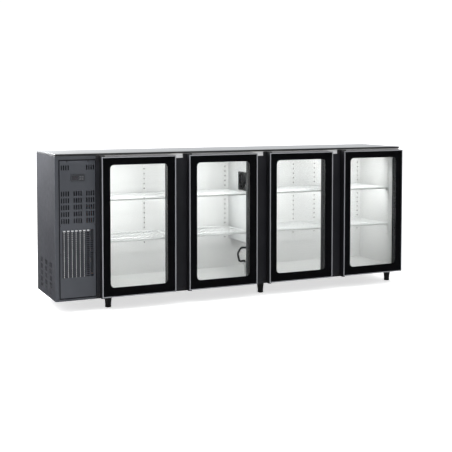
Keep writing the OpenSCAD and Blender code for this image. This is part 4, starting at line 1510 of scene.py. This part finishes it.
@dataclass
class Evaporator(Assembly):
    """The evaporator's housing with its louvres, fan frames, guards and finned coil."""

    sheet: float = 1.5 * MM
    guard_rings: int = 5

    def build(self) -> None:
        """Builds the pieces."""
        self.low, self.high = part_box("evaporator_cover")
        self.fan_low, self.fan_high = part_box("evaporator_fan_frames")
        self.fan_y = (self.fan_low.y + self.fan_high.y) / 2
        self.fan_z = (self.fan_low.z + self.fan_high.z) / 2
        self.size = self.fan_high.z - self.fan_low.z
        self.cover()
        self.fan_frames()
        self.dress(FIN, "evaporator_coil")

    def cover(self) -> None:
        """A folded sheet housing with rounded folds, cut for the fans and louvred at the front."""
        low, high = self.low, self.high
        cover = block("evaporator_housing", low, high)
        round_edges(cover, Axis.Z, 4 * MM, 4, lambda m: m.y < (low.y + high.y) / 2)
        inner = block("inner", low + Vector((self.sheet, self.sheet, -self.sheet)),
                      high + Vector((-self.sheet, self.sheet, -self.sheet)))
        bore = rod("bore", (low.x - 0.01, self.fan_y, self.fan_z), (high.x + 0.01, self.fan_y, self.fan_z),
                   self.size / 2 - 4 * MM, 48)
        louvre = block("louvre", (low.x + 20 * MM, low.y - 3 * MM, low.z + 60 * MM),
                       (high.x - 20 * MM, low.y + 3 * MM, low.z + 66 * MM))
        round_edges(louvre, Axis.Y, 2.6 * MM, 3)
        repeat(louvre, 6, (0, 0, 16 * MM))
        cut(cover, inner, bore, louvre)
        soften(cover, 0.3 * MM, 1)
        self.deliver(cover, HOUSING, "liner", "evaporator_cover")

    def fan_frames(self) -> None:
        """Two square fan frames with rounded corners, each with a wire finger guard and a motor."""
        parts = []
        half = self.size / 2
        for side, x in ((-1, self.low.x), (1, self.high.x)):
            face = x + side * 2 * MM
            near, far = sorted((x, face))
            plate = block("plate", (near, self.fan_y - half, self.fan_z - half),
                          (far, self.fan_y + half, self.fan_z + half))
            round_edges(plate, Axis.X, 7 * MM, 5)
            cut(plate, rod("hole", (near - 0.01, self.fan_y, self.fan_z), (far + 0.01, self.fan_y, self.fan_z),
                           half - 7 * MM, 48))
            soften(plate, 0.5 * MM, 2)
            ring = rod("ring", (x, self.fan_y, self.fan_z), (x - side * 25 * MM, self.fan_y, self.fan_z),
                       half - 5 * MM, 48)
            cut(ring, rod("hole", (x + 0.05, self.fan_y, self.fan_z), (x - side * 0.05, self.fan_y, self.fan_z),
                          half - 7 * MM, 48))
            motor = turned("motor", [(12 * MM, 0), (16 * MM, 1 * MM), (17 * MM, 3 * MM), (17 * MM, 5 * MM)], 32)
            stood(motor, (x - side * 25 * MM, self.fan_y, self.fan_z), (side, 0, 0))
            parts += [plate, smooth(ring, 40), motor]
            parts += self.guard(face - side * 0.9 * MM, half - 7 * MM)
            for turn in range(3):
                angle = math.radians(90 + 120 * turn)
                tip = (half - 5.5 * MM) * Vector((0, math.cos(angle), math.sin(angle)))
                hub = Vector((x - side * 23.5 * MM, self.fan_y, self.fan_z))
                parts.append(tube("arm", [hub + tip * 0.25, hub + tip], 2.4 * MM))
        self.deliver(joined("evaporator_fan_frame_pair", parts), FAN, "fan_plastic", "evaporator_fan_frames")

    def guard(self, x: float, radius: float) -> list[bpy.types.Object]:
        """Concentric guard wires and their cross bars in one plane.

        Args:
            x: Its plane.
            radius: Its outer radius.

        Returns:
            The wires.
        """
        wires = []
        for ring in range(1, self.guard_rings + 1):
            r = radius * ring / self.guard_rings
            points = [(x, self.fan_y + r * math.cos(k * math.pi / 14), self.fan_z + r * math.sin(k * math.pi / 14))
                      for k in range(28)]
            wires.append(tube("guard", points, 0.8 * MM, closed=True, sides=1))
        for angle in (math.pi / 4, 3 * math.pi / 4):
            tip = Vector((0, math.cos(angle), math.sin(angle))) * radius
            hub = Vector((x, self.fan_y, self.fan_z))
            wires.append(tube("guard", [hub - tip, hub + tip], 0.8 * MM, sides=1))
        return wires


# ---- Motor bay -------------------------------------------------------------------------------


@dataclass
class MotorBay(Assembly):
    """The front panel, controller and the condensing set behind it."""

    group_pitch: float = 69 * MM
    grille_columns: int = 8
    grille_rows: int = 23
    grille_bar: float = 4 * MM

    def build(self) -> None:
        """Builds the pieces."""
        self.low, self.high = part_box("motor_panel")
        self.middle = (self.low.x + self.high.x) / 2
        self.panel()
        self.seal()
        self.screws()
        self.controller()
        self.condenser()
        self.filter()
        self.dress(PAINT, "motor_bay_frame")
        self.dress(ZINC, "condensing_base", "fan_shroud")
        self.dress(COMPRESSOR_PAINT, "compressor", "condenser_fan_motor")
        self.dress(MOUNT, "compressor_mounts")
        self.dress(TRAY, "evaporation_pan")
        self.dress(COPPER, "refrigerant_pipes", "filter_drier")
        self.dress(FAN, "cable_gland")

    def panel(self) -> None:
        """The louvred panel: slot groups, grille, controller opening and folded sides."""
        low, high = self.low, self.high
        near, far = low.y - 3 * MM, high.y + 3 * MM
        panel = block("motor_panel_sheet", low, high)
        slots = SlotField(Axis.Y, near, far)
        grille_foot = low.z + 112 * MM
        cutters = [slots.group(self.middle + side * self.group_pitch, high.z - 55 * MM) for side in (-1, 1)]
        rows = slots.rows_low(grille_foot + 290 * MM)
        cutters += [slots.group(self.middle + g * self.group_pitch, z) for g in (-1, 0, 1) for z in rows]
        cell_w, cell_h = 175 * MM / self.grille_columns, 255 * MM / self.grille_rows
        left = self.middle - 87.5 * MM + self.grille_bar / 2
        foot = grille_foot + self.grille_bar / 2
        cell = block("cell", (left, near, foot),
                     (left + cell_w - self.grille_bar, far, foot + cell_h - self.grille_bar))
        round_edges(cell, Axis.Y, 1.2 * MM, 2)
        repeat(cell, self.grille_columns, (cell_w, 0, 0))
        repeat(cell, self.grille_rows, (0, 0, cell_h))
        case_low, case_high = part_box("controller_case")
        hole = block("hole", (case_low.x + 2 * MM, near, case_low.z + 3 * MM),
                     (case_high.x - 2 * MM, far, case_high.z - 3 * MM))
        cut(panel, joined("slot_cutters", cutters), cell, hole)
        soften(panel, 0.22 * MM, 1)
        folds = []
        for x in (low.x, high.x - 1.2 * MM):
            fold = block("fold", (x, low.y, low.z), (x + 1.2 * MM, low.y + 4.6 * MM, high.z))
            folds.append(soften(fold, 0.5 * MM, 2))
        self.deliver(joined("motor_panel_sheet", [panel, *folds]), PAINT, "case_paint", "motor_panel")

    def seal(self) -> None:
        """The thin black seal strip round the edge of the panel, its black painted shade for the shadow gap between
        panel and frame.
        """
        low, high = self.low, self.high
        # Black strip as painted shade for the shadow gap between the panel and its frame.
        ring = mitred_bars("panel_edge_shadow_strip", Vector((low.x - 0.4 * MM, low.y - 0.5 * MM, low.z - 0.4 * MM)),
                           Vector((high.x + 0.4 * MM, low.y + 0.3 * MM, high.z + 0.4 * MM)), 5 * MM, 0.25 * MM)
        self.deliver(ring, BLACK_PRINT_AND_GAP_SHADE, "gasket_rubber")

    def screws(self) -> None:
        """Cross-head screws with domed heads."""
        made = []
        for low, high in island_boxes(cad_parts["panel_screws"]):
            middle = (low + high) / 2
            head = turned("screw", [(0.2 * MM, 0), (4 * MM, 0), (4 * MM, 0.4 * MM), (3.2 * MM, 1.3 * MM),
                                    (1.6 * MM, 1.8 * MM), (0.2 * MM, 1.8 * MM)], 24)
            stood(head, (middle.x, high.y, middle.z), (0, -1, 0))
            for size in ((2.4 * MM, 0.45 * MM), (0.45 * MM, 2.4 * MM)):
                cut(head, block("cross", (middle.x - size[0], low.y - 1 * MM, middle.z - size[1]),
                                (middle.x + size[0], low.y + 1 * MM, middle.z + size[1])))
            made.append(head)
        self.deliver(joined("panel_screw_set", made), HINGE_PAINT, "screw_black", "panel_screws")

    def controller(self) -> None:
        """The controller: rounded bezel, smoked display with dark segments, and four keys."""
        low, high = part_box("controller_case")
        bezel_back = self.low.y
        case = block("controller_bezel", low, (high.x, bezel_back, high.z))
        round_edges(case, Axis.Y, 4 * MM, 6)
        keys = [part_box(f"controller_key_{k}") for k in range(1, 5)]
        for key_low, key_high in keys:
            gap = 0.3 * MM
            pocket = block("pocket", (key_low.x - gap, low.y - 2 * MM, key_low.z - gap),
                           (key_high.x + gap, low.y + 2.9 * MM, key_high.z + gap))
            round_edges(pocket, Axis.Y, 1.4 * MM, 3)
            cut(case, pocket)
        view_low = Vector((low.x + 7 * MM, low.y, low.z + 8 * MM))
        view_high = Vector((low.x + 41 * MM, low.y + 1 * MM, high.z - 8 * MM))
        recess = block("recess", view_low - Vector((0, 2 * MM, 0)), view_high)
        round_edges(recess, Axis.Y, 2 * MM, 4)
        cut(case, recess)
        soften(case, 0.4 * MM, 2)
        body = block("body", (low.x + 2.5 * MM, bezel_back, low.z + 3.5 * MM),
                     (high.x - 2.5 * MM, high.y, high.z - 3.5 * MM))
        soften(body, 1.2 * MM, 2)
        self.deliver(joined("controller_body", [case, body]), CASE, "controller_plastic", "controller_case")
        window = block("controller_display", view_low + Vector((0.3 * MM, 0.4 * MM, 0.3 * MM)),
                       view_high - Vector((0.3 * MM, 0.05 * MM, 0.3 * MM)))
        round_edges(window, Axis.Y, 1.8 * MM, 4)
        soften(window, 0.15 * MM, 1)
        self.deliver(window, WINDOW, "controller_plastic")
        self.segments(view_low, view_high)
        for number, (key_low, key_high) in enumerate(keys, 1):
            key = block(f"controller_key_{number}_cap", key_low, key_high)
            round_edges(key, Axis.Y, 1.2 * MM, 3)
            with editing(key):
                pick(key, "faces", lambda f: f.normal.y < -0.9)
                bpy.ops.mesh.inset(thickness=0.9 * MM)
                bpy.ops.mesh.extrude_region_move(TRANSFORM_OT_translate={"value": (0, 0.25 * MM, 0)})
            soften(key, 0.18 * MM, 2)
            Assembly(f"key_{number}").deliver(key, KEY, "key_plastic", f"controller_key_{number}")

    def segments(self, low: Vector, high: Vector) -> None:
        """Two unlit digits of seven segments behind the smoked window.

        Args:
            low: The window's lowest corner.
            high: The window's highest corner.
        """
        bars = []
        size, thin = 7 * MM, 1 * MM
        face = low.y + 0.32 * MM
        middle_z = (low.z + high.z) / 2
        for x in (low.x + 8 * MM, low.x + 19 * MM):
            for z in (-size, 0, size):
                bars.append((x, x + size, middle_z + z - thin / 2, middle_z + z + thin / 2))
            for side in (x - thin, x + size):
                for z in (-size + thin, thin):
                    bars.append((side, side + thin, middle_z + z, middle_z + z + size - 2 * thin))
        made = [soften(block("bar", (a, face, c), (b, face + 0.12 * MM, d)), 0.05 * MM, 1) for a, b, c, d in bars]
        self.deliver(joined("controller_segments", made), SEGMENT, "controller_plastic")

    def condenser(self) -> None:
        """Finned block with copper return bends, a bright top flange and upright guide wires."""
        low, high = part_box("condenser_coil")
        over = 8 * MM
        fin_low, fin_high = low + Vector((over, 0, 0)), high - Vector((over, 0, 0))
        count = 76
        pitch = (fin_high.x - fin_low.x - 0.4 * MM) / (count - 1)
        fin = block("fin", fin_low + Vector((0, 4 * MM, 0)), (fin_low.x + 0.4 * MM, fin_high.y, fin_high.z - 1 * MM))
        fins = repeat(fin, count, (pitch, 0, 0))
        self.deliver(joined("condenser_fin_block", [fins]), BLACK_FIN, "fin_aluminium", "condenser_coil")
        self.guard(high.z)
        rows, depth = 9, high.y - low.y
        row_pitch = (high.z - low.z) / rows
        bends = []
        for y in (low.y + depth / 4, low.y + depth * 3 / 4):
            for row in range(rows - 1):
                z = low.z + (row + 0.5) * row_pitch
                right = row % 2 == 0
                end, start = (high.x, fin_high.x) if right else (low.x, fin_low.x)
                inward = end - (3 * MM if right else -3 * MM)
                bend = [(start, y, z), (inward, y, z), (inward, y, z + row_pitch), (start, y, z + row_pitch)]
                bends.append(tube("bend", bend, 3 * MM, 7 * MM, sides=2))
        self.deliver(joined("condenser_return_bends", bends), COPPER, "copper")

    def guard(self, top: float) -> None:
        """The bright guard before the condenser: a folded top flange and upright wires.

        Args:
            top: The height of its top.
        """
        left = self.middle - 87.5 * MM
        cell_w = 175 * MM / self.grille_columns
        front = self.high.y + 3 * MM
        tab_x = left + 0.36 * cell_w
        tab = block("tab", (tab_x, front, top - 13 * MM), (tab_x + 0.62 * cell_w, front + 1.2 * MM, top + 2.2 * MM))
        with editing(tab):
            pick(tab, "faces", lambda f: f.normal.z > 0.9)
            bpy.ops.mesh.extrude_region_move(TRANSFORM_OT_translate={"value": (0, 0, 1.2 * MM)})
            pick(tab, "faces", lambda f: f.normal.y > 0.9 and f.calc_center_median().z > top + 2.3 * MM)
            bpy.ops.mesh.extrude_region_move(TRANSFORM_OT_translate={"value": (0, 18 * MM, 0)})
        soften(tab, 0.4 * MM, 2)
        tabs = repeat(tab, 7, (cell_w, 0, 0))
        wires = []
        for column in range(6):
            x = left + (column + 0.62) * cell_w
            points = [(x, front + 2 * MM, top - 265 * MM), (x, front + 2 * MM, top - 8 * MM)]
            wires.append(tube("guide", points, 1.7 * MM, sides=2))
        self.deliver(joined("condenser_guard", [tabs, *wires]), GUARD, "galvanised")

    def filter(self) -> None:
        """A thin black foam dust filter behind the slots of the back panel."""
        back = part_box("back_panel")[0].y
        foot = CAD_BOX[0].z + 385 * MM
        sheet = block("back_dust_filter", (self.middle - 98 * MM, back - 4.5 * MM, foot),
                      (self.middle + 92 * MM, back - 0.5 * MM, self.high.z - 10 * MM))
        round_edges(sheet, Axis.Y, 6 * MM, 4)
        soften(sheet, 1 * MM, 2)
        self.deliver(sheet, FILTER, "foam")


# ---- Studio ----------------------------------------------------------------------------------


@dataclass
class Studio:
    """A plain pale floor, soft lights and the camera."""

    camera_place: tuple[float, float, float] = (-2.2882, -4.8155, 1.1064)
    turn: float = 0.4293
    dip: float = 0.05
    focal: float = 71.73
    shift: tuple[float, float] = (0.0222, -0.1672)

    def build(self) -> None:
        """Sets up floor, light and camera."""
        self.floor()
        self.lights()
        self.camera()

    def floor(self) -> None:
        """A pale floor, level with the feet."""
        foot = CAD_BOX[0].z
        bpy.ops.object.select_all(action="DESELECT")
        bpy.ops.mesh.primitive_plane_add(size=60, location=(0, 0, foot))
        floor = bpy.context.object
        floor.name = "studio_floor"
        floor.data.materials.append(dressed(FLOOR))
        floor.visible_glossy = False

    def lights(self) -> None:
        """A white surround, a large soft key above and to the left, a fill, and the lamps inside."""
        world = bpy.data.worlds.new("studio")
        bpy.context.scene.world = world
        world.use_nodes = True
        self.surround(world.node_tree)
        self.lamp("key", (-3.2, -1.0, 3.4), (0, 0, 0.5), 3.0, 90)
        self.lamp("side", (-1.6, 0.45, 1.35), (-1.1, 0.15, 0.75), 0.4, 36)
        low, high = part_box("inner_liner")
        tiers = ((high.z - 30 * MM, 0.6), (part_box("upper_shelves")[0].z - 12 * MM, 0.6),
                 (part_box("lower_shelves")[0].z - 12 * MM, 0.2))
        for number in range(1, 5):
            glass_low, glass_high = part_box(f"door_{number}_glazing")
            x = (glass_low.x + glass_high.x) / 2
            for tier, (z, power) in enumerate(tiers):
                self.lamp(f"room_{number}_{tier}", (x, low.y + 60 * MM, z), (x, high.y, z - 0.2), 0.2, power, 0.03)

    @staticmethod
    def surround(tree: bpy.types.NodeTree) -> None:
        """White to the eye and to matt surfaces; to glossy ones bright behind and above, dark in front and below.

        Args:
            tree: The world's nodes.
        """

        def node(kind: str, **values: object) -> bpy.types.Node:
            """A world node with its settings.

            Args:
                kind: The node's type.
                values: Its settings.

            Returns:
                The node.
            """
            made = tree.nodes.new(kind)
            for name, value in values.items():
                setattr(made, name, value)
            return made

        def eased(source: bpy.types.NodeSocket, start: float, end: float) -> bpy.types.NodeSocket:
            """0 below start and 1 above end, smoothly between.

            Args:
                source: The value.
                start: Where it starts to rise.
                end: Where it reaches 1.

            Returns:
                The eased value.
            """
            made = node("ShaderNodeMapRange", interpolation_type="SMOOTHSTEP")
            tree.links.new(source, made.inputs["Value"])
            made.inputs["From Min"].default_value = start
            made.inputs["From Max"].default_value = end
            return made.outputs["Result"]

        back = tree.nodes["Background"]
        back.inputs["Color"].default_value = (1, 1, 1, 1)
        back.inputs["Strength"].default_value = 1.05
        axes = node("ShaderNodeSeparateXYZ")
        tree.links.new(node("ShaderNodeTexCoord").outputs["Generated"], axes.inputs[0])
        behind = eased(axes.outputs["Y"], -0.35, 0.3)
        level = eased(axes.outputs["Z"], -0.16, 0.06)
        bright = node("ShaderNodeMath", operation="MULTIPLY")
        tree.links.new(behind, bright.inputs[0])
        tree.links.new(level, bright.inputs[1])
        mirror = node("ShaderNodeBackground")
        mirror.inputs["Color"].default_value = (0.74, 0.76, 0.78, 1)
        tree.links.new(bright.outputs[0], mirror.inputs["Strength"])
        mix = node("ShaderNodeMixShader")
        tree.links.new(node("ShaderNodeLightPath").outputs["Is Glossy Ray"], mix.inputs[0])
        tree.links.new(back.outputs[0], mix.inputs[1])
        tree.links.new(mirror.outputs[0], mix.inputs[2])
        tree.links.new(mix.outputs[0], tree.nodes["World Output"].inputs["Surface"])

    @staticmethod
    def lamp(name: str, place: Sequence[float], aim: Sequence[float], size: float, power: float,
             height: float | None = None) -> None:
        """One rectangular soft light, turned towards a point.

        Args:
            name: Its name.
            place: Where it stands.
            aim: The point that it faces.
            size: Its width.
            power: Its power in watts.
            height: Its height, or None for a square.
        """
        light = bpy.data.lights.new(name, "AREA")
        light.shape = "RECTANGLE"
        light.size = size
        light.size_y = height or size
        light.energy = power
        obj = bpy.data.objects.new(name, light)
        bpy.context.scene.collection.objects.link(obj)
        obj.location = place
        obj.rotation_euler = (Vector(aim) - Vector(place)).to_track_quat("-Z", "Y").to_euler()

    def camera(self) -> None:
        """The camera, level but for a slight dip, with the framing's shift."""
        data = bpy.data.cameras.new("camera")
        data.lens = self.focal
        data.sensor_width = 36
        data.shift_x, data.shift_y = self.shift
        data.clip_end = 100
        obj = bpy.data.objects.new("camera", data)
        bpy.context.scene.collection.objects.link(obj)
        obj.location = self.camera_place
        obj.rotation_euler = (math.pi / 2 - self.dip, 0, -self.turn)
        bpy.context.scene.camera = obj


def main() -> None:
    logging.basicConfig(level=logging.INFO, format="%(message)s")
    studio = Studio()
    studio.build()
    Cabinet().build()
    for number in range(1, 5):
        GlassDoor(number=number).build()
    ColdRoom().build()
    Evaporator().build()
    FanWheel("evaporator_fan_left", "evaporator_fan_1", "evaporator_wheel_left", "fan_plastic", Axis.X, -1, 7).build()
    FanWheel("evaporator_fan_right", "evaporator_fan_2", "evaporator_wheel_right", "fan_plastic",
             Axis.X, 1, 7).build()
    FanWheel("condenser_fan", "condenser_fan_blade", "condenser_wheel", "fan_plastic", Axis.Y, -1, 5).build()
    MotorBay().build()
    bpy.context.scene.view_settings.view_transform = "Standard"


if __name__ == "__main__":
    main()
